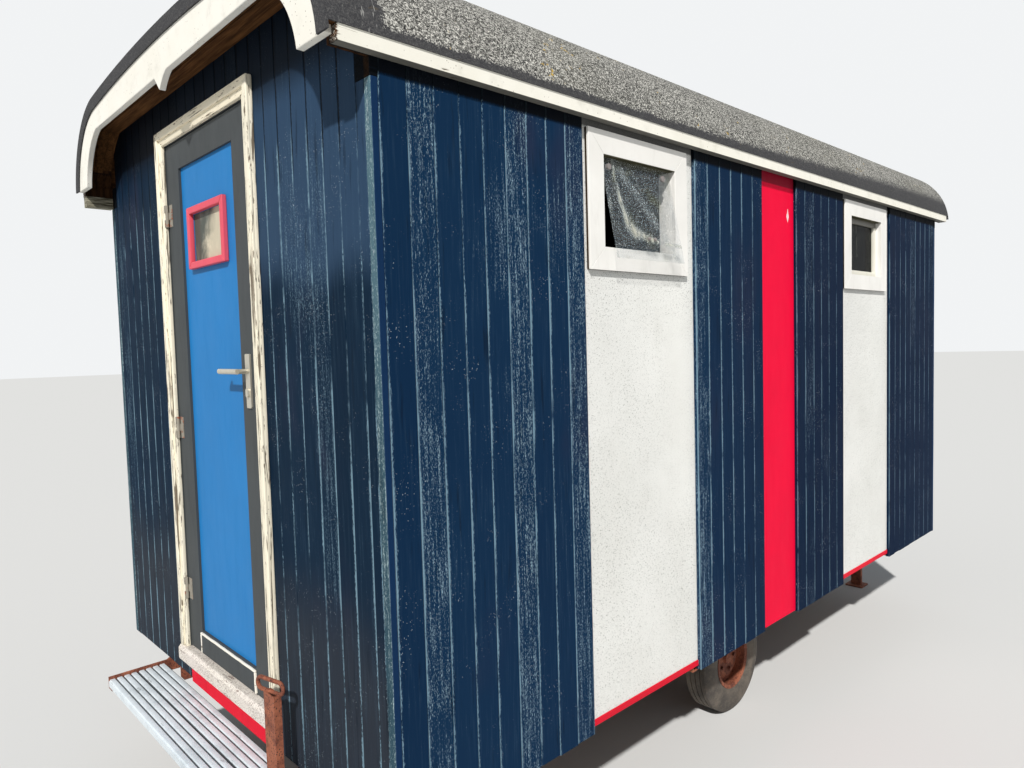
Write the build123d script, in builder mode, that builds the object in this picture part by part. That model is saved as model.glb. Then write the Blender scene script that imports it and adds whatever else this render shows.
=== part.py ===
from build123d import *
import os
from math import atan2, cos, radians, sin, sqrt

# Portable site cabin on one axle: timber walls, a curved felt roof, a door in the front end.
# Millimetres. X runs from the door end to the rear, Y to the left seen from the door end, Z up.
# The origin is on the ground, under the middle of the body.

# Body
body_length = 4290.0
body_width = 2200.0
board_thickness = 22.0
core_thickness = 50.0
board_bottom = 510.0
board_gap = 2.0
floor_top = 645.0
floor_thickness = 60.0
batten_width = 32.0

# Side wall layout: boards, white panel, boards, red stripe, then the same again in mirror
panel_start = 796.0
panel_width = 655.0
stripe_width = 327.0
panel_sheet = 6.0
panel_bottom = 552.0
stripe_bottom = 515.0
trim_height = 22.0
trim_thickness = 10.0

# Windows
window_width = 415.0
window_height = 306.0
window_drop = 292.0
window_shift = -15.0
lining_thickness = 12.0
casing_width = 78.0
casing_proud = 14.0
sash_width = 28.0
sash_depth = 30.0
sash_set_back = 30.0
glass_thickness = 4.0
pane_width = 390.0
pane_thickness = 5.0
pane_hang = 192.0
pane_swing = 67.0
pane_top_set_back = 22.0

# Roof: a wide crown arc between two shoulder arcs, whose centres lie the drop below the eave
eave_height = 2597.0
eave_reach = 37.0
eave_drop = 49.35
shoulder_radius = 372.0
crown_camber = 35.35
felt_thickness = 6.0
deck_thickness = 18.0
felt_lip = 50.0
front_overhang = 130.0
rear_overhang = 150.0
soffit_thickness = 20.0
bow_depth = 60.0
bow_width = 40.0
bow_spaces = 4
plate_height = 90.0
plate_rise = 3.0
fascia_height = 40.0
fascia_thickness = 30.0
eave_block_width = 15.0
corner_block_reach = 22.0
barge_thickness = 22.0
barge_drop = 22.0
barge_foot = 138.0
barge_rise = 190.0
barge_sweep = 185.0
tooth_left_half = 47.0
tooth_right_half = 71.0
tooth_depth = 50.0

# Doorway and door
door_centre = -10.0
door_opening = 747.0
door_rise = 44.0
jamb_thickness = 30.0
stop_width = 12.0
stop_depth = 27.0
door_gap = 5.0
lock_side_gap = 7.0
leaf_thickness = 38.0
leaf_set_back = 2.0
stile_width = 122.0
top_rail = 101.0
bottom_rail = 90.0
door_panel_thickness = 12.0
door_panel_set_back = 10.0
kick_height = 83.0
kick_thickness = 8.0
trim_width = 55.0
trim_proud = 22.0
trim_step = 8.0
trim_band = 30.0
sill_nose = 32.0
sill_height = 57.0
band_thickness = 12.0
peep_width = 330.0
peep_height = 226.0
peep_drop = 382.0
peep_rim = 25.0
peep_proud = 18.0
hinge_low_rise = 244.0
hinge_middle_rise = 895.0
hinge_high_drop = 270.0
hinge_radius = 6.0
hinge_pin_radius = 3.0
hinge_length = 84.0
hinge_inset = 3.5
hinge_flap_width = 36.0
hinge_flap_gap = 8.0
hinge_arm_depth = 2.0
hinge_block_gap = 4.0
hinge_gap = 0.5
running_gap = 0.3
plate_width = 35.0
plate_length = 180.0
lock_plate_rise = 1092.0
lever_rise = 1125.0
lever_back_set = 63.5
lever_reach = 150.0
lever_stand_off = 44.0
spindle_radius = 8.0
cylinder_drop = 72.0
lock_plate_thickness = 6.0

# Running gear
rail_height = 80.0
rail_width = 45.0
rail_wall = 5.0
rail_inset = 515.0
member_height = 80.0
member_width = 40.0
wheel_radius = 250.0
tyre_half_width = 66.0
rim_radius = 127.0
rim_flange = 10.0
rim_sheet = 7.0
rim_dish = 78.0
wheel_inset = 315.0
axle_size = 50.0
hub_reach = 85.0
spindle_end = 15.0
hub_bore = 18.0
leaf_half_lengths = (360.0, 250.0, 140.0)
leaf_gauge = 8.0
leaf_width = 50.0
leaf_camber = 96.0

# Step, legs and drawbar lugs
step_top = 480.0
step_depth = 224.0
step_gap = 8.0
step_clearance = 50.0
step_left = 675.0
plank_thickness = 30.0
plank_gap = 3.0
rib_count = 4
arm_thickness = 6.0
arm_bottom = 438.0
arm_lip = 12.0
leg_stand_off = 87.0
leg_inset = 15.0
leg_depth = 24.0
leg_width = 70.0
leg_wall = 3.0
leg_top = 796.0
foot_size = 120.0
foot_thickness = 8.0
sleeve_height = 75.0
sleeve_wall = 5.0
sleeve_arm = 30.0
ring_bar = 13.0
ring_length = 130.0
ring_height = 50.0
ring_turn = 13.5
ring_shift = 11.0
lug_reach = 205.0
lug_gap = 60.0
lug_thickness = 12.0
lug_hole_radius = 13.0
lug_hole_reach = 160.0
lug_hole_level = 458.0

# Worked out from the sizes above
front = -body_length / 2
rear = body_length / 2
side = body_width / 2
core_face = side - board_thickness
inner_face = core_face - core_thickness
panel_face = core_face + panel_sheet
board_top = eave_height - board_gap
member_top = floor_top - floor_thickness
member_bottom = member_top - member_height
rail_bottom = member_bottom - rail_height
rail_centre = side - rail_inset
wheel_centre = side - wheel_inset
axle_half_length = wheel_centre - hub_reach
spindle_reach = wheel_centre + spindle_end
leg_side = rail_centre - leg_inset
step_right = step_clearance - leg_side
plate_top = eave_height + plate_rise
plate_bottom = plate_top - plate_height
roof_skin = felt_thickness + deck_thickness
roof_half_width = side + eave_reach
shoulder_y = roof_half_width - shoulder_radius
shoulder_z = eave_height - eave_drop
crown_height = shoulder_z + shoulder_radius + crown_camber
crown_radius = shoulder_radius + crown_camber / 2 + shoulder_y**2 / (2 * crown_camber)
crown_centre = crown_height - crown_radius
barge_bottom = eave_height - barge_drop
barge_flat = eave_height + barge_rise
barge_foot_half = roof_half_width - roof_skin - barge_foot
barge_flat_half = barge_foot_half - barge_sweep
member_reach = body_length / 2 - board_thickness - member_width / 2
member_places = tuple(member_reach * third / 3 for third in (-3, -2, -1, 1, 2, 3))
bow_reach = body_length / 2 - board_thickness - core_thickness - bow_width / 2
bow_places = tuple(bow_reach * (2 * bow / bow_spaces - 1) for bow in range(bow_spaces + 1))
panel_spans = (
    (front + panel_start, front + panel_start + panel_width),
    (rear - panel_start - panel_width, rear - panel_start),
)
window_level = eave_height - window_drop
window_places = tuple((a + b) / 2 + window_shift for a, b in panel_spans)
door_head = eave_height + door_rise
jamb_right = door_centre - door_opening / 2
jamb_left = door_centre + door_opening / 2
rough_right = jamb_right - jamb_thickness
rough_left = jamb_left + jamb_thickness
rough_head = door_head + jamb_thickness
leaf_right = jamb_right + lock_side_gap
leaf_left = jamb_left - door_gap
leaf_bottom = floor_top + door_gap
leaf_top = door_head - door_gap
leaf_face = front + leaf_set_back
leaf_back = leaf_face + leaf_thickness
hinge_y = leaf_left - hinge_inset
hinge_x = front - hinge_radius
hinge_levels = (floor_top + hinge_low_rise, floor_top + hinge_middle_rise, door_head - hinge_high_drop)
peep_level = door_head - peep_drop
lever_y = leaf_right + lever_back_set
lever_level = floor_top + lever_rise
plate_level = floor_top + lock_plate_rise
cylinder_level = lever_level - cylinder_drop
sill_bottom = floor_top - sill_height


def slab(x_span, y_span, z_span, mode=Mode.ADD):
    """Add a square-edged block that fills three spans."""
    middle = tuple((a + b) / 2 for a, b in (x_span, y_span, z_span))
    with Locations(middle):
        Box(x_span[1] - x_span[0], y_span[1] - y_span[0], z_span[1] - z_span[0], mode=mode)


def arch_outline(inset, bottom):
    """Draw the roof's curve moved inwards by inset, closed by a level line at bottom."""
    shoulder = shoulder_radius - inset
    crown = crown_radius - inset
    start = atan2(shoulder_z - crown_centre, shoulder_y)
    touch = (crown * cos(start), crown_centre + crown * sin(start))
    foot = (shoulder_y + sqrt(shoulder**2 - (bottom - shoulder_z) ** 2), bottom)
    middle = (start + atan2(bottom - shoulder_z, foot[0] - shoulder_y)) / 2
    knee = (shoulder_y + shoulder * cos(middle), shoulder_z + shoulder * sin(middle))
    ThreePointArc((-touch[0], touch[1]), (0, crown_height - inset), touch)
    ThreePointArc(touch, knee, foot)
    Line(foot, (-foot[0], bottom))
    ThreePointArc((-foot[0], bottom), (-knee[0], knee[1]), (-touch[0], touch[1]))


def keep(part, name):
    """Label a finished piece and write its file."""
    part.label = name
    export_step(part, f"parts/{name}.step")


os.makedirs("parts", exist_ok=True)

# Floor and chassis
with BuildPart() as floor_deck:
    slab(
        (front + board_thickness + core_thickness, rear - board_thickness - core_thickness),
        (-inner_face, inner_face),
        (member_top, floor_top),
    )
keep(floor_deck.part, "floor_deck")

with BuildPart() as chassis_rails:
    with BuildSketch(Plane.YZ.offset(front + batten_width)):
        with Locations((-rail_centre, rail_bottom + rail_height / 2)):
            Rectangle(rail_width, rail_height)
        with Locations((-rail_centre + rail_wall, rail_bottom + rail_height / 2)):
            Rectangle(rail_width, rail_height - 2 * rail_wall, mode=Mode.SUBTRACT)
    extrude(amount=body_length - 2 * batten_width)
    mirror(about=Plane.XZ)
keep(chassis_rails.part, "chassis_rails")

with BuildPart() as cross_members:
    with BuildSketch(Plane.XZ.offset(-core_face)):
        for place in member_places:
            with Locations((place, member_top - member_height / 2)):
                Rectangle(member_width, member_height)
            with Locations((place + rail_wall, member_top - member_height / 2)):
                Rectangle(member_width, member_height - 2 * rail_wall, mode=Mode.SUBTRACT)
    extrude(amount=2 * core_face)
keep(cross_members.part, "cross_members")

# Axle, springs and wheels
with BuildPart() as axle_beam:
    slab(
        (-axle_size / 2, axle_size / 2),
        (-axle_half_length, axle_half_length),
        (wheel_radius - axle_size / 2, wheel_radius + axle_size / 2),
    )
    with Locations((0, 0, wheel_radius)):
        Cylinder(hub_bore - running_gap, 2 * spindle_reach, rotation=(90, 0, 0))
keep(axle_beam.part, "axle_beam")

with BuildPart() as leaf_springs:
    spring_base = wheel_radius + axle_size / 2
    spring_radius = leaf_half_lengths[0] ** 2 / (2 * leaf_camber)
    with BuildSketch(Plane.XZ.offset(rail_centre - leaf_width / 2)):
        for layer, half in enumerate(reversed(leaf_half_lengths)):
            rise = half**2 / (2 * spring_radius)
            low = spring_base + layer * leaf_gauge
            high = low + leaf_gauge
            with BuildLine():
                ThreePointArc((-half, low + rise), (0, low), (half, low + rise))
                Line((half, low + rise), (half, high + rise))
                ThreePointArc((half, high + rise), (0, high), (-half, high + rise))
                Line((-half, high + rise), (-half, low + rise))
            make_face()
        for end in (-1, 1):
            eye_level = spring_base + 2 * leaf_gauge + leaf_camber
            hanger = rail_bottom - eye_level
            with Locations((end * leaf_half_lengths[0], eye_level + hanger / 2)):
                Rectangle(2 * leaf_gauge, hanger)
    extrude(amount=leaf_width)
    mirror(about=Plane.XZ)
keep(leaf_springs.part, "leaf_springs")

for hand, name in ((-1, "right"), (1, "left")):
    wheel_plane = Plane(
        origin=(0, hand * wheel_centre, wheel_radius), x_dir=(0, hand, 0), z_dir=(hand, 0, 0)
    )
    spin_axis = Axis((0, 0, wheel_radius), (0, 1, 0))
    with BuildPart() as wheel_rim:
        seat = rim_radius - rim_sheet
        flange = rim_radius + rim_flange
        with BuildSketch(wheel_plane):
            with BuildLine():
                Polyline(
                    (-60, hub_bore),
                    (28, hub_bore),
                    (28, 0),
                    (36, 0),
                    (34, 26),
                    (22, 30),
                    (20, 50),
                    (26, rim_dish),
                    (10, seat - 8),
                    (10, seat),
                    (54, seat),
                    (58, flange),
                    (54, flange),
                    (50, rim_radius),
                    (-50, rim_radius),
                    (-54, flange),
                    (-58, flange),
                    (-54, seat),
                    (4, seat),
                    (4, seat - 10),
                    (20, rim_dish),
                    (14, 46),
                    (-60, 40),
                    close=True,
                )
            make_face()
        revolve(axis=spin_axis)
        nut_plane = Plane(
            origin=(0, hand * (wheel_centre + 20), wheel_radius), x_dir=(1, 0, 0), z_dir=(0, hand, 0)
        )
        with BuildSketch(nut_plane):
            with PolarLocations(60, 5):
                RegularPolygon(9, 6)
        extrude(amount=14)
    keep(wheel_rim.part, f"{name}_wheel_rim")
    with BuildPart() as tyre:
        tread_half = 50.0
        groove_places = (-26.0, 0.0, 26.0)
        groove_size = 5.0
        with BuildSketch(wheel_plane):
            with BuildLine():
                foot = (tyre_half_width - 12, rim_radius + 10.5)
                belly = (tyre_half_width, 190)
                shoulder = (tread_half + 6, wheel_radius - 9)
                crown = (tread_half, wheel_radius)
                Polyline((-50, rim_radius), (50, rim_radius))
                Line((50, rim_radius), foot)
                ThreePointArc(foot, belly, shoulder)
                Line(shoulder, crown)
                Line(crown, (-crown[0], crown[1]))
                Line((-crown[0], crown[1]), (-shoulder[0], shoulder[1]))
                ThreePointArc((-shoulder[0], shoulder[1]), (-belly[0], belly[1]), (-foot[0], foot[1]))
                Line((-foot[0], foot[1]), (-50, rim_radius))
            make_face()
            for place in groove_places:
                with Locations((place, wheel_radius)):
                    Rectangle(groove_size, 2 * groove_size, mode=Mode.SUBTRACT)
        revolve(axis=spin_axis)
    keep(tyre.part, f"{name}_tyre")

# Walls behind the boards
for hand, name in ((-1, "right"), (1, "left")):
    with BuildPart() as side_wall:
        slab(
            (front + board_thickness, rear - board_thickness),
            sorted((hand * core_face, hand * inner_face)),
            (member_top, plate_bottom),
        )
        for place in window_places:
            half = window_width / 2 + lining_thickness
            reach = window_height / 2 + lining_thickness
            slab(
                (place - half, place + half),
                (hand * side - side, hand * side + side),
                (window_level - reach, window_level + reach),
                Mode.SUBTRACT,
            )
    keep(side_wall.part, f"{name}_wall")

end_walls = {
    "front_wall_right": (front + board_thickness, (-inner_face, rough_right), member_top),
    "front_wall_left": (front + board_thickness, (rough_left, inner_face), member_top),
    "front_wall_head": (front + board_thickness, (rough_right, rough_left), rough_head),
    "rear_wall": (rear - board_thickness - core_thickness, (-inner_face, inner_face), member_top),
}
for name, (start, span, bottom) in end_walls.items():
    with BuildPart() as end_wall:
        with BuildSketch(Plane.YZ.offset(start)):
            with BuildLine():
                arch_outline(roof_skin, shoulder_z)
            make_face()
            with Locations((0, (bottom + shoulder_z) / 2)):
                Rectangle(2 * side, shoulder_z - bottom)
            with Locations(((span[0] + span[1]) / 2, (bottom + crown_height) / 2)):
                Rectangle(span[1] - span[0], crown_height - bottom, mode=Mode.INTERSECT)
        extrude(amount=core_thickness)
    keep(end_wall.part, name)

# Boards, panels and stripes
board_spans = (
    (front + board_thickness, panel_spans[0][0]),
    (panel_spans[0][1], -stripe_width / 2),
    (stripe_width / 2, panel_spans[1][0]),
    (panel_spans[1][1], rear - board_thickness),
)
for hand, name in ((-1, "right"), (1, "left")):
    with BuildPart() as side_boards:
        for span in board_spans:
            slab(span, sorted((hand * side, hand * core_face)), (board_bottom, board_top))
    keep(side_boards.part, f"{name}_wall_boards")

edge = side - batten_width
end_boards = {
    "front_boards_right": (front, (-edge, rough_right), ((board_bottom, crown_height),)),
    "front_boards_left": (front, (rough_left, edge), ((board_bottom, crown_height),)),
    "front_boards_door": (
        front,
        (rough_right, rough_left),
        ((board_bottom, sill_bottom), (rough_head, crown_height)),
    ),
    "rear_wall_boards": (rear - board_thickness, (-edge, edge), ((board_bottom, crown_height),)),
}
for name, (start, span, levels) in end_boards.items():
    with BuildPart() as boards:
        with BuildSketch(Plane.YZ.offset(start)):
            for bottom, top in levels:
                with Locations(((span[0] + span[1]) / 2, (bottom + top) / 2)):
                    Rectangle(span[1] - span[0], top - bottom)
            with BuildLine():
                arch_outline(roof_skin, shoulder_z)
                Line((-edge, shoulder_z), (-edge, board_bottom - 1), mode=Mode.PRIVATE)
            arch = make_face(mode=Mode.PRIVATE)
            with Locations((0, (board_bottom + shoulder_z) / 2 - 1)):
                below = Rectangle(2 * side, shoulder_z - board_bottom + 2, mode=Mode.PRIVATE)
            add(arch + below, mode=Mode.INTERSECT)
            for hand in (-1, 1):
                with Locations((hand * (inner_face + side) / 2, (plate_bottom + plate_top + side) / 2)):
                    Rectangle(side - inner_face, plate_top + side - plate_bottom, mode=Mode.SUBTRACT)
        extrude(amount=board_thickness)
    keep(boards.part, name)

with BuildPart() as corner_battens:
    for start in (front, rear - board_thickness):
        slab((start, start + board_thickness), (edge, side), (board_bottom, plate_bottom))
    mirror(about=Plane.XZ)
keep(corner_battens.part, "corner_battens")

with BuildPart() as white_panels:
    for span, place in zip(panel_spans, window_places):
        half = window_width / 2 + lining_thickness
        reach = window_height / 2 + lining_thickness
        slab(span, (core_face, panel_face), (panel_bottom, board_top))
        slab(
            (place - half, place + half),
            (core_face, panel_face),
            (window_level - reach, window_level + reach),
            Mode.SUBTRACT,
        )
    mirror(about=Plane.XZ)
keep(white_panels.part, "white_panels")

with BuildPart() as red_stripes:
    slab((-stripe_width / 2, stripe_width / 2), (core_face, panel_face), (stripe_bottom, board_top))
    mirror(about=Plane.XZ)
keep(red_stripes.part, "red_stripes")

with BuildPart() as red_trims:
    for span in panel_spans:
        slab(span, (core_face, core_face + trim_thickness), (panel_bottom - trim_height, panel_bottom))
    mirror(about=Plane.XZ)
keep(red_trims.part, "red_trims")

# Roof
with BuildPart() as wall_plates:
    slab((front, rear), (inner_face, core_face), (plate_bottom, plate_top))
    for start in (front, rear - board_thickness):
        slab((start, start + board_thickness), (core_face, side), (plate_bottom, board_top))
    mirror(about=Plane.XZ)
keep(wall_plates.part, "wall_plates")

with BuildPart() as roof_bows:
    for place in bow_places:
        with BuildSketch(Plane.YZ.offset(place - bow_width / 2)):
            with BuildLine():
                arch_outline(roof_skin, plate_top)
            make_face()
            with BuildLine():
                arch_outline(roof_skin + bow_depth, plate_top)
            make_face(mode=Mode.SUBTRACT)
        extrude(amount=bow_width)
keep(roof_bows.part, "roof_bows")

roof_length = body_length + front_overhang + rear_overhang
with BuildPart() as roof_deck:
    with BuildSketch(Plane.YZ.offset(front - front_overhang)):
        with BuildLine():
            arch_outline(felt_thickness, eave_height)
        make_face()
        with BuildLine():
            arch_outline(roof_skin, eave_height)
        make_face(mode=Mode.SUBTRACT)
    extrude(amount=roof_length)
keep(roof_deck.part, "roof_deck")

with BuildPart() as roof_felt:
    with BuildSketch(Plane.YZ.offset(front - front_overhang)):
        with BuildLine():
            arch_outline(0, eave_height)
        make_face()
        with BuildLine():
            arch_outline(felt_thickness, eave_height)
        make_face(mode=Mode.SUBTRACT)
    extrude(amount=roof_length)
    for lip_start in (front - front_overhang - felt_thickness, rear + rear_overhang):
        with BuildSketch(Plane.YZ.offset(lip_start)):
            with BuildLine():
                arch_outline(0, barge_bottom)
            make_face()
            with BuildLine():
                arch_outline(felt_lip, barge_bottom)
            make_face(mode=Mode.SUBTRACT)
        extrude(amount=felt_thickness)
keep(roof_felt.part, "roof_felt")

with BuildPart() as overhang_soffits:
    soffit_spans = (
        (front - front_overhang + barge_thickness, front),
        (rear, rear + rear_overhang - barge_thickness),
    )
    for start, end in soffit_spans:
        with BuildSketch(Plane.YZ.offset(start)):
            with BuildLine():
                arch_outline(roof_skin, plate_top)
            make_face()
            with BuildLine():
                arch_outline(roof_skin + soffit_thickness, plate_top)
            make_face(mode=Mode.SUBTRACT)
            for hand in (-1, 1):
                with Locations((hand * (side - eave_block_width / 2), plate_top - fascia_height / 2)):
                    Rectangle(eave_block_width, fascia_height + 2 * plate_rise)
        extrude(amount=end - start)
keep(overhang_soffits.part, "overhang_soffits")

barge_starts = {
    "front_bargeboard": front - front_overhang,
    "rear_bargeboard": rear + rear_overhang - barge_thickness,
}
for name, start in barge_starts.items():
    with BuildPart() as bargeboard:
        with BuildSketch(Plane.YZ.offset(start)):
            with BuildLine():
                arch_outline(roof_skin, barge_bottom)
            make_face()
            with BuildLine():
                foot = (barge_foot_half, barge_bottom)
                brow = (barge_flat_half, barge_flat)
                bend = ((foot[0] + brow[0]) / 2 + 22, (foot[1] + brow[1]) / 2 + 36)
                tip = (0, barge_flat - tooth_depth)
                hollow = (-tooth_right_half / 3, barge_flat - 0.55 * tooth_depth)
                ThreePointArc(foot, bend, brow)
                Line(brow, (tooth_left_half, barge_flat))
                Line((tooth_left_half, barge_flat), tip)
                ThreePointArc(tip, hollow, (-tooth_right_half, barge_flat))
                Line((-tooth_right_half, barge_flat), (-brow[0], brow[1]))
                ThreePointArc((-brow[0], brow[1]), (-bend[0], bend[1]), (-foot[0], foot[1]))
                Line((-foot[0], foot[1]), foot)
            make_face(mode=Mode.SUBTRACT)
        extrude(amount=barge_thickness)
    keep(bargeboard.part, name)

with BuildPart() as eave_fascias:
    slab(
        (front - front_overhang + barge_thickness, rear + rear_overhang - barge_thickness),
        (side, side + fascia_thickness),
        (eave_height - fascia_height, eave_height),
    )
    mirror(about=Plane.XZ)
    slab(
        (front - front_overhang + barge_thickness, front),
        (core_face, side + corner_block_reach),
        (plate_bottom, eave_height - fascia_height),
    )
keep(eave_fascias.part, "eave_fascias")

# Doorway
with BuildPart() as door_frame:
    with BuildSketch(Plane.YZ.offset(front)):
        with Locations((door_centre, (floor_top + rough_head) / 2)):
            Rectangle(rough_left - rough_right, rough_head - floor_top)
        with Locations((door_centre, (floor_top + door_head) / 2)):
            Rectangle(door_opening, door_head - floor_top, mode=Mode.SUBTRACT)
    extrude(amount=board_thickness + core_thickness)
    with BuildSketch(Plane.YZ.offset(front + board_thickness + core_thickness - stop_depth)):
        with Locations((door_centre, (floor_top + door_head) / 2)):
            Rectangle(door_opening, door_head - floor_top)
        with Locations((door_centre, (floor_top + door_head - stop_width) / 2)):
            Rectangle(
                door_opening - 2 * stop_width, door_head - stop_width - floor_top, mode=Mode.SUBTRACT
            )
    extrude(amount=stop_depth)
keep(door_frame.part, "door_frame")

with BuildPart() as door_trim:
    for outer, inner, start in (
        (trim_width, 0.0, front - trim_proud + trim_step),
        (trim_width, trim_width - trim_band, front - trim_proud),
    ):
        with BuildSketch(Plane.YZ.offset(start)):
            with Locations((door_centre, (floor_top + door_head + outer) / 2)):
                Rectangle(door_opening + 2 * outer, door_head + outer - floor_top)
            with Locations((door_centre, (floor_top + door_head + inner) / 2)):
                Rectangle(door_opening + 2 * inner, door_head + inner - floor_top, mode=Mode.SUBTRACT)
        extrude(amount=front - start)
keep(door_trim.part, "door_trim")

with BuildPart() as door_sill:
    with BuildSketch(Plane.XZ.offset(-rough_left)):
        with BuildLine():
            Polyline(
                (front + board_thickness + core_thickness, floor_top),
                (front, floor_top),
                (front, sill_bottom),
                (front + board_thickness, sill_bottom),
                (front + board_thickness, member_top),
                (front + board_thickness + core_thickness, member_top),
                close=True,
            )
        make_face()
    extrude(amount=rough_left - rough_right)
    with BuildSketch(Plane.XZ.offset(-(jamb_left + trim_width))):
        with BuildLine():
            Polyline(
                (front, floor_top),
                (front - trim_proud - 2, floor_top),
                (front - sill_nose, floor_top - 12),
                (front - sill_nose, sill_bottom),
                (front, sill_bottom),
                close=True,
            )
        make_face()
    extrude(amount=door_opening + 2 * trim_width)
keep(door_sill.part, "door_sill")

with BuildPart() as door_red_band:
    slab(
        (front - band_thickness, front),
        (jamb_right, jamb_left - trim_width / 2),
        (board_bottom, sill_bottom),
    )
keep(door_red_band.part, "door_red_band")

# Door leaf
panel_right = leaf_right + stile_width
panel_left = leaf_left - stile_width
panel_centre = (panel_right + panel_left) / 2
panel_low = leaf_bottom + bottom_rail
panel_high = leaf_top - top_rail
panel_front = leaf_face + door_panel_set_back
glass_opening = (peep_width - 2 * peep_rim, peep_height - 2 * peep_rim)

with BuildPart() as door_leaf_frame:
    with BuildSketch(Plane.YZ.offset(leaf_face)):
        with Locations(((leaf_right + leaf_left) / 2, (leaf_bottom + leaf_top) / 2)):
            Rectangle(leaf_left - leaf_right, leaf_top - leaf_bottom)
        with Locations((panel_centre, (panel_low + panel_high) / 2)):
            Rectangle(panel_left - panel_right, panel_high - panel_low, mode=Mode.SUBTRACT)
        with Locations((lever_y, lever_level)):
            Circle(spindle_radius + running_gap, mode=Mode.SUBTRACT)
    extrude(amount=leaf_thickness)
keep(door_leaf_frame.part, "door_leaf_frame")

with BuildPart() as door_panel:
    with BuildSketch(Plane.YZ.offset(panel_front)):
        with Locations((panel_centre, (panel_low + panel_high) / 2)):
            Rectangle(panel_left - panel_right, panel_high - panel_low)
        with Locations((panel_centre, peep_level)):
            Rectangle(*glass_opening, mode=Mode.SUBTRACT)
    extrude(amount=door_panel_thickness)
keep(door_panel.part, "door_panel")

with BuildPart() as door_kick_board:
    slab(
        (leaf_face - kick_thickness, leaf_face),
        (panel_right - 2, panel_left + 2),
        (leaf_bottom + 5, leaf_bottom + 5 + kick_height),
    )
keep(door_kick_board.part, "door_kick_board")

with BuildPart() as door_window_frame:
    with BuildSketch(Plane.YZ.offset(panel_front - peep_proud)):
        with Locations((panel_centre, peep_level)):
            Rectangle(peep_width, peep_height)
            Rectangle(*glass_opening, mode=Mode.SUBTRACT)
    extrude(amount=peep_proud)
keep(door_window_frame.part, "door_window_frame")

with BuildPart() as door_glass:
    slab(
        (panel_front + 2, panel_front + 2 + glass_thickness),
        (panel_centre - glass_opening[0] / 2, panel_centre + glass_opening[0] / 2),
        (peep_level - glass_opening[1] / 2, peep_level + glass_opening[1] / 2),
    )
keep(door_glass.part, "door_glass")

# Hinges: the middle knuckle turns with the leaf, the outer two and the pin stay on the frame
knuckle = hinge_length / 3
with BuildPart() as hinge_leaves:
    for level in hinge_levels:
        with Locations((hinge_x, hinge_y, level)):
            Cylinder(hinge_radius, knuckle - 2 * hinge_gap)
        slab(
            (front - hinge_arm_depth, leaf_face),
            (hinge_y - hinge_flap_width, hinge_y),
            (level - knuckle / 2 + hinge_gap, level + knuckle / 2 - hinge_gap),
        )
        slab(
            (front, leaf_face),
            (hinge_y - hinge_flap_width, hinge_y - hinge_flap_gap),
            (level - hinge_length / 2, level + hinge_length / 2),
        )
        with Locations((hinge_x, hinge_y, level)):
            Cylinder(hinge_pin_radius + running_gap, knuckle, mode=Mode.SUBTRACT)
keep(hinge_leaves.part, "hinge_leaves")

with BuildPart() as hinge_frames:
    for level in hinge_levels:
        with Locations((hinge_x, hinge_y, level)):
            Cylinder(hinge_pin_radius, hinge_length)
        for end in (-1, 1):
            middle = level + end * knuckle
            with Locations((hinge_x, hinge_y, middle)):
                Cylinder(hinge_radius, knuckle)
            slab(
                (front - trim_proud + trim_step, front - 2 * hinge_gap),
                (hinge_y + hinge_block_gap, jamb_left),
                (middle - knuckle / 2, middle + knuckle / 2),
            )
keep(hinge_frames.part, "hinge_frames")

with BuildPart() as door_lock_plates:
    for start in (leaf_face - lock_plate_thickness, leaf_back):
        with BuildSketch(Plane.YZ.offset(start)):
            with Locations((lever_y, plate_level)):
                RectangleRounded(plate_width, plate_length, 6)
            with Locations((lever_y, lever_level)):
                Circle(spindle_radius + running_gap, mode=Mode.SUBTRACT)
        extrude(amount=lock_plate_thickness)
    for start in (leaf_face - lock_plate_thickness - 7, leaf_back + lock_plate_thickness):
        with BuildSketch(Plane.YZ.offset(start)):
            with Locations((lever_y, cylinder_level)):
                SlotOverall(30, 17, rotation=90)
        extrude(amount=7)
keep(door_lock_plates.part, "door_lock_plates")

with BuildPart() as door_lever:
    spindle_start = leaf_face - lever_stand_off
    spindle_end = leaf_back + lever_stand_off
    with BuildSketch(Plane.YZ.offset(spindle_start)):
        with Locations((lever_y, lever_level)):
            Circle(spindle_radius)
    extrude(amount=spindle_end - spindle_start)
    for grip_x, inward in ((spindle_start, 1), (spindle_end, -1)):
        with BuildSketch(Plane.XZ.offset(-(lever_y - 9))):
            with Locations((grip_x, lever_level)):
                Ellipse(7, 9)
        extrude(amount=-lever_reach)
        with BuildSketch(Plane.XZ.offset(-(lever_y - 9 + lever_reach))):
            with Locations((grip_x + inward * 6, lever_level)):
                RectangleRounded(26, 16, 6)
        extrude(amount=9)
keep(door_lever.part, "door_lever")

# Windows
with BuildPart() as window_trims:
    lining_width = window_width + 2 * lining_thickness
    lining_height = window_height + 2 * lining_thickness
    for place in window_places:
        with BuildSketch(Plane.XZ.offset(inner_face)):
            with Locations((place, window_level)):
                Rectangle(lining_width, lining_height)
                Rectangle(window_width, window_height, mode=Mode.SUBTRACT)
        extrude(amount=panel_face - inner_face)
        with BuildSketch(Plane.XZ.offset(panel_face)):
            with Locations((place, window_level)):
                Rectangle(window_width + 2 * casing_width, window_height + 2 * casing_width)
                Rectangle(window_width, window_height, mode=Mode.SUBTRACT)
        extrude(amount=side + casing_proud - panel_face)
    mirror(about=Plane.XZ)
keep(window_trims.part, "window_trims")

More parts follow.
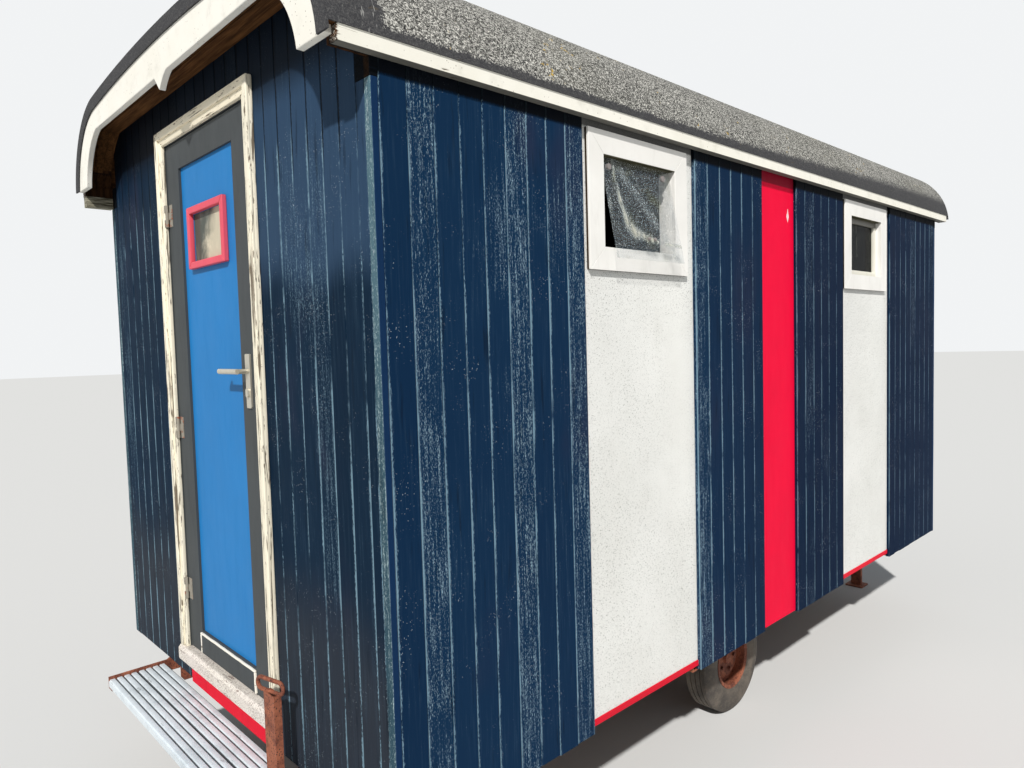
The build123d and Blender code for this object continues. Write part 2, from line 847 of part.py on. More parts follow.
closed_windows = ((window_places[1], -1), (window_places[0], 1), (window_places[1], 1))
with BuildPart() as window_sashes:
    for place, hand in closed_windows:
        sash_start = side - sash_set_back - (sash_depth if hand < 0 else 0)
        with BuildSketch(Plane.XZ.offset(-hand * sash_start)):
            with Locations((place, window_level)):
                Rectangle(window_width, window_height)
                Rectangle(window_width - 2 * sash_width, window_height - 2 * sash_width, mode=Mode.SUBTRACT)
        extrude(amount=sash_depth)
keep(window_sashes.part, "window_sashes")

with BuildPart() as window_glass:
    for place, hand in closed_windows:
        glass_y = hand * (side - sash_set_back - sash_depth / 2)
        slab(
            (place - window_width / 2 + sash_width, place + window_width / 2 - sash_width),
            (glass_y - glass_thickness / 2, glass_y + glass_thickness / 2),
            (
                window_level - window_height / 2 + sash_width,
                window_level + window_height / 2 - sash_width,
            ),
        )
keep(window_glass.part, "window_glass")

# The front window on the right side is one loose sheet that hangs from its top edge, tilted out
with BuildPart() as tilted_pane:
    pane_top = window_level + window_height / 2
    pane_bottom = window_level - pane_hang
    with BuildSketch(Plane.YZ.offset(window_places[0] - pane_width / 2)):
        with BuildLine():
            Polyline(
                (-side + pane_top_set_back, pane_top),
                (-side + pane_top_set_back + pane_thickness, pane_top),
                (-side + pane_top_set_back + pane_thickness - pane_swing, pane_bottom),
                (-side + pane_top_set_back - pane_swing, pane_bottom),
                close=True,
            )
        make_face()
    extrude(amount=pane_width)
keep(tilted_pane.part, "tilted_pane")

# Step: two ribbed planks between two arms bolted under the front cross member
with BuildPart() as step_planks:
    plank_width = (step_depth - plank_gap) / 2
    rib_pitch = plank_width / rib_count
    rib_height = 5.0
    with BuildSketch(Plane.XZ.offset(-step_left)):
        for plank in range(2):
            outer_edge = front - step_gap - plank * (plank_width + plank_gap)
            with Locations((outer_edge - plank_width / 2, step_top - rib_height - 2)):
                Rectangle(plank_width, 4)
            for rib in range(rib_count):
                with Locations((outer_edge - rib_pitch * (rib + 0.5), step_top - rib_height / 2)):
                    Trapezoid(rib_pitch - 5, rib_height, 60)
            for lip in (outer_edge - 2, outer_edge - plank_width + 2):
                with Locations((lip, step_top - plank_thickness / 2 - rib_height / 2)):
                    Rectangle(4, plank_thickness - rib_height)
    extrude(amount=step_left - step_right)
keep(step_planks.part, "step_planks")

with BuildPart() as step_arms:
    plank_bottom = step_top - plank_thickness
    step_front = front - step_gap - step_depth
    for edge_y, outward in ((step_left, 1), (step_right, -1)):
        with BuildSketch(Plane.XZ.offset(-edge_y if outward < 0 else -(edge_y + arm_thickness))):
            with BuildLine():
                Polyline(
                    (step_front, plank_bottom - arm_thickness),
                    (front + board_thickness + member_width, arm_bottom),
                    (front + board_thickness + member_width, member_bottom),
                    (front + board_thickness, member_bottom),
                    (front, step_top + arm_lip),
                    (step_front, step_top + arm_lip),
                    close=True,
                )
            make_face()
        extrude(amount=arm_thickness)
        slab(
            (step_front, front - step_gap),
            sorted((edge_y + outward * arm_thickness, edge_y - outward * 40)),
            (plank_bottom - arm_thickness, plank_bottom),
        )
keep(step_arms.part, "step_arms")

# Drop legs: a foot plate, a flat tube and a link to pull it up by, held in a sleeve on the chassis
leg_groups = {
    "front_leg": ((front - leg_stand_off, -leg_side),),
    "rear_legs": ((rear + leg_stand_off, -leg_side), (rear + leg_stand_off, leg_side)),
}
for name, places in leg_groups.items():
    with BuildPart() as legs:
        for x, y in places:
            with BuildSketch(Plane.XY):
                with Locations((x, y)):
                    RectangleRounded(foot_size, foot_size, 10)
            extrude(amount=foot_thickness)
            with BuildSketch(Plane.XY.offset(foot_thickness)):
                with Locations((x, y)):
                    Rectangle(leg_depth, leg_width)
                    Rectangle(leg_depth - 2 * leg_wall, leg_width - 2 * leg_wall, mode=Mode.SUBTRACT)
            extrude(amount=leg_top - foot_thickness)
            ring_plane = Plane(
                origin=(x, y + ring_shift, leg_top + (ring_height - ring_bar) / 2),
                x_dir=(-sin(radians(ring_turn)), cos(radians(ring_turn)), 0),
                z_dir=(cos(radians(ring_turn)), sin(radians(ring_turn)), 0),
            )
            bend = (ring_height - ring_bar) / 2
            straight = (ring_length - ring_height) / 2
            with BuildLine(ring_plane) as ring_path:
                Line((-straight, -bend), (straight, -bend))
                ThreePointArc((straight, -bend), (straight + bend, 0), (straight, bend))
                Line((straight, bend), (-straight, bend))
                ThreePointArc((-straight, bend), (-straight - bend, 0), (-straight, -bend))
            ring_start = ring_plane.from_local_coords((-straight, -bend, 0))
            with BuildSketch(Plane(origin=ring_start, z_dir=ring_plane.x_dir)):
                Circle(ring_bar / 2)
            sweep(path=ring_path.wire())
    keep(legs.part, name)
    with BuildPart() as sleeves:
        for x, y in places:
            inward = 1 if x < 0 else -1
            start_x = x + inward * leg_depth / 2
            chassis_x = x + inward * (leg_stand_off + batten_width)
            with BuildSketch(Plane.XY.offset(member_bottom - sleeve_height)):
                with Locations((x, y)):
                    Rectangle(leg_depth + 2 * sleeve_wall, leg_width + 2 * sleeve_wall)
                with Locations(((start_x + chassis_x) / 2, y)):
                    Rectangle(abs(chassis_x - start_x), sleeve_arm)
                with Locations((x, y)):
                    Rectangle(leg_depth, leg_width, mode=Mode.SUBTRACT)
            extrude(amount=sleeve_height)
    keep(sleeves.part, f"{name}_sleeve")

with BuildPart() as drawbar_lugs:
    lug_start = rear - board_thickness - member_width
    for hand in (-1, 1):
        plane_y = hand * (lug_gap + lug_thickness) / 2 + lug_thickness / 2
        with BuildSketch(Plane.XZ.offset(-plane_y)):
            with BuildLine():
                Polyline(
                    (lug_start, member_bottom),
                    (rear - board_thickness, member_bottom),
                    (rear + lug_hole_reach, lug_hole_level + rail_width),
                    (rear + lug_reach, lug_hole_level + rail_width / 2),
                    (rear + lug_reach, lug_hole_level - rail_width / 2),
                    (rear + lug_hole_reach, lug_hole_level - rail_width),
                    (lug_start, rail_bottom),
                    close=True,
                )
            make_face()
            with Locations((rear + lug_hole_reach, lug_hole_level)):
                Circle(lug_hole_radius, mode=Mode.SUBTRACT)
        extrude(amount=lug_thickness)
keep(drawbar_lugs.part, "drawbar_lugs")
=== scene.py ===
"""Dresses the portable site cabin: single boards, peeling paint, felt, glass, rust, light and camera."""

import logging
import math
import random
from dataclasses import dataclass
from enum import Enum
from functools import cache
from typing import Any, Callable, Optional, Sequence

import bmesh
import bpy
from mathutils import Matrix, Vector, noise


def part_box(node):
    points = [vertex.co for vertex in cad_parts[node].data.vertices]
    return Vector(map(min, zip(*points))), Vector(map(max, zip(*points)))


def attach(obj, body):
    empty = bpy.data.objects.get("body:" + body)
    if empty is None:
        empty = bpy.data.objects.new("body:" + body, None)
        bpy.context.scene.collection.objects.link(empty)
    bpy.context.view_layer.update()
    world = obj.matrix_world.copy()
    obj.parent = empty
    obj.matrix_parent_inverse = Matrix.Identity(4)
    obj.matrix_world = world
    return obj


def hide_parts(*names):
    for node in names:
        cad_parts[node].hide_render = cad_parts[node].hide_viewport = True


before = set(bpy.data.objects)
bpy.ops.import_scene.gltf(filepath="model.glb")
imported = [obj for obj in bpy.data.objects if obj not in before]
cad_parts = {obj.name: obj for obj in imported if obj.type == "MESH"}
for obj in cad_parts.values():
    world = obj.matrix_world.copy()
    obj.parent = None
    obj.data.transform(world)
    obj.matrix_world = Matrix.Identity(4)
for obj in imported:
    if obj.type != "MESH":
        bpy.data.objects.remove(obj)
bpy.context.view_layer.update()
LOG = logging.getLogger("site_cabin")
BODY = "cabin"
DOOR = "door"

Pair = tuple[float, float]
Triple = tuple[float, float, float]
Move = Callable[[Vector], Vector]
ZERO: Triple = (0.0, 0.0, 0.0)
ONE: Triple = (1.0, 1.0, 1.0)
NOISE_SEED = 7


class Grain(Enum):
    """The row axis that a piece's wood grain or rolling lines follow."""

    X = 0
    Y = 1
    Z = 2

    def stretch(self, along: float) -> Triple:
        """Scale factors that draw a pattern out along the grain."""
        factors = [1.0, 1.0, 1.0]
        factors[self.value] = along
        return (factors[0], factors[1], factors[2])


def colour(text: str) -> tuple[float, float, float, float]:
    """Linear opaque colour for a #rrggbb shade.

    Args:
        text: The shade as it looks on a screen.

    Returns:
        Red, green, blue and alpha for a shader socket.
    """
    parts = [int(text[i:i + 2], 16) / 255 for i in (1, 3, 5)]
    linear = [p / 12.92 if p <= 0.04045 else ((p + 0.055) / 1.055) ** 2.4 for p in parts]
    return (linear[0], linear[1], linear[2], 1.0)


class Signal:
    """A value that a shader works out for each point; Python's operators add Math nodes."""

    def __init__(self, graph: "Graph", socket: bpy.types.NodeSocket) -> None:
        """Wrap one output socket."""
        self.graph = graph
        self.socket = socket

    def _math(self, operation: str, *values: Any, clamp: bool = False) -> "Signal":
        """Add one Math node over the given values."""
        settings = {"operation": operation, "use_clamp": clamp}
        return self.graph.node("ShaderNodeMath", settings, dict(enumerate(values)))

    def __add__(self, other: Any) -> "Signal":
        """self + other."""
        return self._math("ADD", self, other)

    __radd__ = __add__

    def __sub__(self, other: Any) -> "Signal":
        """self - other."""
        return self._math("SUBTRACT", self, other)

    def __rsub__(self, other: Any) -> "Signal":
        """other - self."""
        return self._math("SUBTRACT", other, self)

    def __mul__(self, other: Any) -> "Signal":
        """self * other."""
        return self._math("MULTIPLY", self, other)

    __rmul__ = __mul__

    def __truediv__(self, other: Any) -> "Signal":
        """self / other."""
        return self._math("DIVIDE", self, other)

    def __abs__(self) -> "Signal":
        """Absolute value."""
        return self._math("ABSOLUTE", self)

    def clamp(self) -> "Signal":
        """The value held between 0 and 1."""
        return self._math("ADD", self, 0.0, clamp=True)

    def high(self, other: Any) -> "Signal":
        """The larger of the two values."""
        return self._math("MAXIMUM", self, other)

    def ramp(self, low: float, top: float) -> "Signal":
        """A smooth step.

        Args:
            low: Value that gives 0.
            top: Value that gives 1; it may be below low.

        Returns:
            0 to 1 between the two values.
        """
        if low > top:
            return 1.0 - self.ramp(top, low)
        settings = {"interpolation_type": "SMOOTHSTEP"}
        return self.graph.node("ShaderNodeMapRange", settings, {0: self, 1: low, 2: top})


class Graph:
    """A node tree, of the world or of a material, with its output node."""

    def __init__(self, owner: bpy.types.ID, output: str) -> None:
        """Empty the owner's node tree and add an output of the given type."""
        owner.use_nodes = True
        self.tree = owner.node_tree
        self.tree.nodes.clear()
        self.output = self.tree.nodes.new(output)

    def node(self, kind: str, settings: Optional[dict[str, Any]] = None,
             inputs: Optional[dict[Any, Any]] = None, out: Any = 0) -> Signal:
        """Add a node, set it up and feed it.

        Args:
            kind: The node's type.
            settings: Properties of the node.
            inputs: Values or signals by socket name or number.
            out: The output wanted.

        Returns:
            That output as a signal.
        """
        made = self.tree.nodes.new(kind)
        for key, value in (settings or {}).items():
            setattr(made, key, value)
        for key, value in (inputs or {}).items():
            self.feed(made.inputs[key], value)
        return Signal(self, made.outputs[out])

    def feed(self, socket: bpy.types.NodeSocket, value: Any) -> None:
        """Link a signal to an input socket, or set a constant on it."""
        if isinstance(value, Signal):
            self.tree.links.new(value.socket, socket)
        else:
            socket.default_value = value


class PaintGraph(Graph):
    """One material's node tree, with its main shader and the base colour made so far."""

    SOCKETS = {"base": "Base Color", "roughness": "Roughness", "specular": "Specular IOR Level",
               "metallic": "Metallic", "alpha": "Alpha"}

    def __init__(self, name: str) -> None:
        """Start an empty material with a Principled shader and Object coordinates."""
        self.material = bpy.data.materials.new(name)
        super().__init__(self.material, "ShaderNodeOutputMaterial")
        self.shader = self.tree.nodes.new("ShaderNodeBsdfPrincipled")
        self.tree.links.new(self.shader.outputs[0], self.output.inputs["Surface"])
        self.place = self.node("ShaderNodeTexCoord", out="Object")
        self.base: Any = "#808080"

    def noise(self, scale: float, detail: float = 3.0, rough: float = 0.55, factors: Triple = ONE,
              shift: Triple = ZERO, bend: float = 0.0, turn: Triple = ZERO) -> Signal:
        """Cloudy noise.

        Args:
            scale: Cells a metre.
            detail: Octaves.
            rough: How strong the fine octaves are.
            factors: Stretch of the pattern along each axis.
            shift: Offset of the pattern.
            bend: Distortion.
            turn: Rotation of the pattern.

        Returns:
            Values about 0.5.
        """
        inputs = {"Vector": self._placed(factors, shift, turn), "Scale": scale, "Detail": detail,
                  "Roughness": rough, "Distortion": bend}
        return self.node("ShaderNodeTexNoise", {}, inputs)

    def _placed(self, factors: Triple, shift: Triple = ZERO, turn: Triple = ZERO) -> Signal:
        """Object coordinates scaled, turned and moved."""
        inputs = {"Vector": self.place, "Location": shift, "Rotation": turn, "Scale": factors}
        return self.node("ShaderNodeMapping", {}, inputs)

    def cells(self, scale: float, factors: Triple = ONE, out: str = "Distance") -> Signal:
        """Voronoi cells: the distance to the middle, or a random colour for each cell."""
        return self.node("ShaderNodeTexVoronoi", {}, {"Vector": self._placed(factors), "Scale": scale}, out)

    def axis(self, index: int) -> Signal:
        """One Object coordinate, in metres."""
        return self.node("ShaderNodeSeparateXYZ", {}, {0: self.place}, index)

    def attribute(self, name: str) -> Signal:
        """A number stored on the mesh's vertices."""
        return self.node("ShaderNodeAttribute", {"attribute_name": name}, {}, "Fac")

    def blend(self, amount: Any, below: Any, above: Any) -> Signal:
        """Mix two colours.

        Args:
            amount: 0 shows the lower colour, 1 the upper.
            below: Lower colour, a #rrggbb shade or a signal.
            above: Upper colour, likewise.

        Returns:
            The mixed colour.
        """
        low, top = (shade if isinstance(shade, Signal) else colour(shade) for shade in (below, above))
        return self.node("ShaderNodeMix", {"data_type": "RGBA"}, {0: amount, 6: low, 7: top}, 2)

    def coat(self, amount: Any, shade: Any) -> None:
        """Blend a shade over the base colour."""
        self.base = self.blend(amount, self.base, shade)

    def set(self, **values: Any) -> None:
        """Feed sockets of the main shader by their short names."""
        for key, value in values.items():
            self.feed(self.shader.inputs[self.SOCKETS[key]], value)

    def bump(self, height: Signal, strength: float, distance: float) -> None:
        """Raise the surface by a height signal."""
        inputs = {"Height": height, "Strength": strength, "Distance": distance}
        self.feed(self.shader.inputs["Normal"], self.node("ShaderNodeBump", {}, inputs))


@dataclass(frozen=True)
class Finish:
    """A procedural material."""

    name: str

    def dress(self, g: PaintGraph) -> None:
        """Work out the base colour and feed the shader's other sockets."""
        raise NotImplementedError

    @cache
    def make(self) -> bpy.types.Material:
        """The material, built when it is first asked for."""
        g = PaintGraph(self.name)
        self.dress(g)
        g.set(base=g.base)
        return g.material


@dataclass(frozen=True)
class BoardPaint(Finish):
    """Old dark blue paint on boards: smooth stretches, crackled ones, pale joints and white specks.

    The bands are a shade and the heights where it starts and is full; the painted shadow under the eave is
    two heights and a strength.
    """

    deep: str = "#092541"
    light: str = "#122f4b"
    fleck: str = "#93adbc"
    joint: str = "#7593a4"
    lines: float = 0.80
    breaks: float = 0.30
    wear: float = 0.0
    upper: Optional[tuple[str, float, float]] = None
    lower: Optional[tuple[str, float, float]] = None
    # Painted shadow under the eave: start height, full height and strength.
    eave_shadow: Triple = (2.516, 2.526, 0.95)
    outer: Optional[str] = None
    outer_from: Pair = (1.0980, 1.0992)
    # Whether open joints are painted black, and pale joint lines faded, high up where the eave's shade
    # falls.
    splits_in_shade: bool = False
    side_face: Pair = (1.0930, 1.0965)
    end_face: Pair = (2.1380, 2.1415)

    def _joints(self, g: PaintGraph, middle: Signal, rear: Signal) -> Signal:
        """Pale broken lines along the joints, on the walls' outer faces.

        Args:
            g: The material's graph.
            middle: Ragged place across the board, -1 at one edge and 1 at the other.
            rear: 0 at the front of the cabin to 1 at the rear.

        Returns:
            0 to 1.
        """
        gaps = g.noise(3.1, 4.0, 0.7, (0.6, 0.6, 1.0), (8.0, 2.0, 3.0))
        line = middle.ramp(-0.905, -0.965) * gaps.ramp(self.breaks, self.breaks + 0.18)
        face = abs(g.axis(1)).ramp(*self.side_face).high(abs(g.axis(0)).ramp(*self.end_face))
        line = line * (1.0 - rear * 0.45) * face
        # Painted shade: on the door end the pale joint lines fade out high up, under the eave.
        return line * g.axis(2).ramp(2.50, 2.38) if self.splits_in_shade else line

    def _tint(self, g: PaintGraph, tone: Signal, cloud: Signal, patch: Signal, rear: Signal) -> None:
        """Start the base colour with the slow changes from board to board and up the wall, and a painted
        shade towards the rear.

        Args:
            g: The material's graph.
            tone: Each board's own number.
            cloud: Slow noise.
            patch: Slow noise that follows the boards.
            rear: 0 at the front of the cabin to 1 at the rear.
        """
        g.base = g.blend((tone * 0.5 + (cloud - 0.3) * 0.9).clamp(), self.deep, self.light)
        violet = g.noise(2.7, 3.0, 0.6, (1.0, 1.0, 0.4), (9.0, 4.0, 1.0)).ramp(0.53, 0.70)
        g.coat(violet * 0.40, "#2c2c40")
        # Painted shade: the boards darken towards the rear, where the long wall is seen at a grazing angle.
        g.coat(rear * 0.80, "#02132c")
        # Upper bands lighten the boards towards the top: on the door end a painted sheen of sunlight, on
        # its near side only; on the corner battens paler, worn paint.
        for shade, start, end in filter(None, (self.upper, self.lower)):
            near = g.axis(1).ramp(0.35, 0.10) if end > start else 1.0
            g.coat((g.axis(2) + (patch - 0.5) * 0.35).ramp(start, end) * near * 0.85, shade)

    def dress(self, g: PaintGraph) -> None:
        """Lay flecks, joints and specks, open joints painted black where shade falls, and the painted eave
        shadow over the tinted boards.
        """
        tone, across, height = g.attribute("tone"), g.attribute("across"), g.axis(2)
        cloud = g.noise(1.7, 3.0)
        patch = g.noise(2.1, 3.0, 0.6, (1.0, 1.0, 0.6), (4.0, 1.0, 7.0))
        fibre = g.noise(120.0, 4.0, 0.62, (1.0, 1.0, 0.045), bend=0.3)
        fine = g.noise(520.0, 3.0, 0.7, (1.0, 1.0, 0.24))
        wobble = g.noise(5.0, 3.0, 0.6, (0.3, 0.3, 1.0), (1.0, 5.0, 2.0)) - 0.5
        rear = g.axis(0).ramp(-1.0, 0.5)
        crackled = (patch + (tone - 0.5) * 0.50 - rear * 0.10 + self.wear).ramp(0.50, 0.70)
        flecks = (fine * 0.66 + fibre * 0.34 + crackled * 0.115 - rear * 0.020).ramp(0.662, 0.712)
        line = self._joints(g, across + wobble * 0.45 + (fine - 0.5) * 0.60, rear)
        rim = (across + (fine - 0.5) * 0.2).ramp(0.94, 0.99) * g.noise(4.0, 3.0, 0.6).ramp(0.45, 0.65) * 0.5
        spread = g.noise(7.0, 2.0, 0.5, (1.0, 1.0, 1.0), (2.0, 9.0, 3.0)).ramp(0.50, 0.66)
        specks = g.cells(190.0).ramp(0.24, 0.12) * g.noise(120.0, 1.0).ramp(0.54, 0.60) * spread
        hollows = g.noise(40.0, 3.0, 0.6, (1.0, 1.0, 0.1)).ramp(0.42, 0.28)
        self._tint(g, tone, cloud, patch, rear)
        g.coat(fibre.ramp(0.48, 0.72) * (0.08 + crackled * 0.14) * (1.0 - rear * 0.6), "#4f6b80")
        g.coat(flecks * (0.85 - rear * 0.10), self.fleck)
        g.coat(hollows * 0.5, "#08121e")
        g.coat(line.high(rim) * self.lines, self.joint)
        g.coat(specks * 0.95, "#cdd7dc")
        if self.splits_in_shade:
            # Open joints painted black only high up: dark gaps, and painted shade where the eave shades
            # them.
            split = (across + (fine - 0.5) * 0.45 + wobble * 0.3).ramp(0.79, 0.85) * height.ramp(2.30, 2.42)
            g.coat(split * 0.95, "#05070a")
        # Painted shadow: the boards go near black above a height, where the eave shades them.
        start, end, dark = self.eave_shadow
        g.coat((height + (fine - 0.5) * 0.02).ramp(start, end) * dark, "#030406")
        if self.outer:
            g.coat(abs(g.axis(1)).ramp(*self.outer_from), self.outer)
        g.set(roughness=(0.66 + flecks * 0.25 + (cloud - 0.5) * 0.3).clamp(), specular=0.05)
        g.bump(fibre * 0.5 + fine * 0.3 + line * 0.5 - flecks * 0.4, 0.55, 0.0016)


@dataclass(frozen=True)
class OldPaint(Finish):
    """Pale brush paint that cracks and flakes along the grain."""

    grain: Grain
    shade: str = "#efece3"
    under: str = "#6b5136"
    crack: str = "#4b3824"
    dirt: str = "#8d8a7c"
    cracks: float = 0.22
    flakes: float = 0.0
    bare_before: Optional[float] = None
    # Height below which the underside is painted in shade.
    shaded_underside_below: Optional[float] = None
    grit: float = 0.0

    def dress(self, g: PaintGraph) -> None:
        """Crack, flake and soil the paint, bare its wood where that is asked for, and paint a shaded
        underside if asked.
        """
        lines = g.noise(75.0, 4.0, 0.6, self.grain.stretch(0.045), bend=0.6)
        fine = g.noise(240.0, 3.0, 0.6, self.grain.stretch(0.08))
        cloud = g.noise(4.0, 4.0, 0.6)
        cracked = (lines + (cloud - 0.5) * 0.25 + (self.cracks - 0.5) * 0.3).ramp(0.61, 0.66)
        if self.cracks > 0.5:
            dashes = g.noise(135.0, 3.0, 0.6, self.grain.stretch(0.13)) + (cloud - 0.5) * 0.2
            cracked = cracked.high(dashes.ramp(0.615, 0.65))
        patch = g.noise(26.0, 5.0, 0.7, self.grain.stretch(0.3)) + (fine - 0.5) * 0.3
        patch = patch.ramp(0.70 - self.flakes * 0.2, 0.73 - self.flakes * 0.2)
        grime = g.noise(14.0, 5.0, 0.65).ramp(0.50, 0.78)
        specks = g.cells(75.0).ramp(0.16, 0.08) * g.noise(9.0, 2.0).ramp(0.50, 0.60)
        g.base = g.blend(cloud.ramp(0.35, 0.7) * 0.35, self.shade, "#e2decf")
        for amount, shade in ((grime * 0.20, self.dirt), (cracked * 0.85, self.crack),
                              (patch * 0.8, self.under), (specks * 0.7, "#57493a")):
            g.coat(amount, shade)
        streaks = lines * 0.5 + fine * 0.5
        if self.bare_before is not None:
            bare = (g.axis(0) + (fine - 0.5) * 0.02).ramp(self.bare_before + 0.006, self.bare_before)
            g.coat(bare, g.blend(streaks.ramp(0.38, 0.64), "#20140c", "#5d4028"))
        # Painted shade: below a height the underside goes near black on the right side and a lighter
        # grey-olive on the left, lit and shaded copies.
        if self.shaded_underside_below is not None:
            shaded = g.blend(streaks.ramp(0.40, 0.60), "#0b0a08", "#2a261d")
            lit_underside = g.blend(streaks.ramp(0.40, 0.60), "#3b3527", "#a39f8c")
            below = g.axis(2).ramp(self.shaded_underside_below, self.shaded_underside_below - 0.002)
            g.coat(below, g.blend(g.axis(1).ramp(-0.5, 0.5), shaded, lit_underside))
        if self.grit:
            dust = g.noise(170.0, 4.0, 0.75).ramp(0.50, 0.60) * g.noise(8.0, 3.0).ramp(0.25, 0.55)
            g.coat(dust * self.grit, "#7d6c66")
            g.coat(g.noise(260.0, 2.0).ramp(0.64, 0.70) * self.grit, "#3c3434")
        g.set(roughness=0.6 + grime * 0.25, specular=0.08)
        g.bump((1.0 - cracked) * 0.6 + (1.0 - patch) * 0.7 + fine * 0.25, 0.6, 0.0015)


@dataclass(frozen=True)
class SmoothPaint(Finish):
    """Brushed paint on a flat surface, with grime, small scars and a soft bump."""

    shade: str
    grime: str
    dirty: float = 0.15
    rough: float = 0.45
    scars: float = 0.0
    scar_shade: str = "#d8d2c4"
    mildew: float = 0.0
    shine: float = 0.3
    chip: Optional[Pair] = None
    chip_half_size: Pair = (0.013, 0.034)
    # Painted shadow: the height above which the paint darkens, and its colour.
    shadow_above: Optional[float] = None
    shadow_colour: str = "#241f17"

    def _spots(self, g: PaintGraph) -> None:
        """Lay specks of mildew, thick in some zones, and a fine grey haze of it."""
        zone = g.noise(2.3, 3.0, 0.6, (1.0, 1.0, 0.6)).ramp(0.24, 0.56)
        spots = g.cells(210.0, (1.0, 1.0, 0.8)).ramp(0.36, 0.18) * g.noise(95.0, 2.0).ramp(0.46, 0.56)
        g.coat(spots * zone * self.mildew, "#5d6058")
        fine = g.noise(430.0, 2.0, 0.7).ramp(0.50, 0.66) * (zone * 0.6 + 0.4)
        g.coat(fine * self.mildew * 0.50, "#8b8c84")

    def dress(self, g: PaintGraph) -> None:
        """Lay grime, scars, mildew, one chip and a painted shadow along the top over the paint."""
        cloud = g.noise(3.0, 4.0, 0.6)
        veil = g.noise(22.0, 5.0, 0.65, (1.0, 1.0, 0.25))
        g.base = g.blend((cloud.ramp(0.3, 0.75)) * 0.16, self.shade, self.grime)
        g.coat(veil.ramp(0.52, 0.8) * self.dirty, self.grime)
        if self.scars:
            scars = g.noise(95.0, 5.0, 0.7) + (cloud - 0.5) * 0.4
            g.coat(scars.ramp(0.80 - self.scars * 0.1, 0.83 - self.scars * 0.1), self.scar_shade)
        if self.mildew:
            self._spots(g)
        if self.chip:
            ragged = g.noise(90.0, 4.0, 0.7, (1.0, 1.0, 0.4)) - 0.5
            beside = abs(g.axis(0) - self.chip[0]) / self.chip_half_size[0]
            off = beside + abs(g.axis(2) - self.chip[1]) / self.chip_half_size[1]
            g.coat((off + ragged * 2.6).ramp(1.0, 0.8), self.scar_shade)
        # Painted shadow: above a height the paint darkens where the eave or the window head shades it.
        if self.shadow_above:
            top = g.axis(2).ramp(self.shadow_above, self.shadow_above + 0.008)
            g.coat(top * 0.85, self.shadow_colour)
        g.set(specular=self.shine, roughness=(self.rough + (veil - 0.5) * 0.25).clamp())
        g.bump(g.noise(60.0, 4.0, 0.6, (1.0, 1.0, 0.4)) + cloud * 2.0, 0.25, 0.0012)


@dataclass(frozen=True)
class Rust(Finish):
    """Rusted steel with pits, and what is left of its paint."""

    paint: str = "#7b4534"
    left: float = 0.0

    def dress(self, g: PaintGraph) -> None:
        """Lay pits and patches of paint over the rust."""
        patch = g.noise(18.0, 6.0, 0.7)
        fine = g.noise(160.0, 5.0, 0.7)
        g.base = g.blend(patch.ramp(0.35, 0.65), "#5f2f22", "#9a5a40")
        g.coat(fine.ramp(0.52, 0.72) * 0.5, "#b27452")
        pits = (g.cells(135.0) + (fine - 0.5) * 0.5).ramp(0.34, 0.22)
        g.coat(pits * 0.85, "#2b1a16")
        if self.left:
            kept = patch + (fine - 0.5) * 0.3
            g.coat(kept.ramp(0.27 + self.left * 0.4, 0.22 + self.left * 0.4), self.paint)
        g.set(roughness=0.72 + fine * 0.2)
        g.bump(patch + fine * 0.8, 0.7, 0.0015)


@dataclass(frozen=True)
class Felt(Finish):
    """Mineral roof felt: light and dark granules, lichen, a bare dark strip along the eaves."""

    eave: float
    front: float

    def _bare(self, g: PaintGraph, ragged: Signal, front: Signal) -> Signal:
        """Where the granules have worn off: along the eaves, wider to the rear, and at the front.

        Args:
            g: The material's graph.
            ragged: Small shifts of the border, in metres.
            front: The bare edge at the front.

        Returns:
            0 to 1.
        """
        rear = g.axis(0).ramp(-1.2, 2.2)
        top = self.eave + 0.022 + rear * 0.060
        strip = (top + 0.012 + rear * 0.05 - g.axis(2) - ragged) / (0.012 + rear * 0.06)
        return strip.ramp(0.0, 1.0).high(front)

    def dress(self, g: PaintGraph) -> None:
        """Mix the granules and lay lichen, the bare edges and pale drips over them."""
        coarse, small = (g.node("ShaderNodeSeparateColor", {}, {0: g.cells(scale, out="Color")})
                         for scale in (270.0, 560.0))
        cloud = g.noise(3.2, 5.0, 0.65)
        along, height = g.axis(0), g.axis(2)
        grain = (coarse * 0.62 + small * 0.38 + (cloud - 0.5) * 0.20).clamp()
        g.base = g.blend(grain.ramp(0.22, 0.58), "#2c2c2b", "#8a8984")
        g.coat(grain.ramp(0.60, 0.82), "#e2e0d8")
        g.coat(g.noise(1.1, 3.0).ramp(0.45, 0.7) * 0.16, "#6f6c58")
        lichen = (g.noise(38.0, 4.0, 0.6) + (cloud - 0.5) * 0.4).ramp(0.690, 0.725) * coarse.ramp(0.1, 0.4)
        g.coat(lichen * 0.9, "#c4a02e")
        ragged = (g.noise(26.0, 4.0, 0.7) - 0.5) * 0.035 + (coarse - 0.5) * 0.010
        reach = 0.030 + height.ramp(self.eave + 0.28, self.eave + 0.06) * 0.13
        front = ((along - self.front + ragged - reach) / 0.014).ramp(1.0, 0.0)
        bare = self._bare(g, ragged, front)
        drips = g.noise(75.0, 3.0, 0.7, (1.0, 0.12, 0.12)).ramp(0.60, 0.66)
        g.coat(bare * 0.94, g.blend(small * 0.5, "#333336", "#515153"))
        g.coat(drips * front * (along - self.front).ramp(0.02, 0.05) * 0.7, "#bcbcb8")
        g.set(roughness=0.9, specular=0.15)
        g.bump(grain * (1.0 - bare) * 0.8 + g.noise(24.0, 3.0) * 1.2, 0.8, 0.0022)


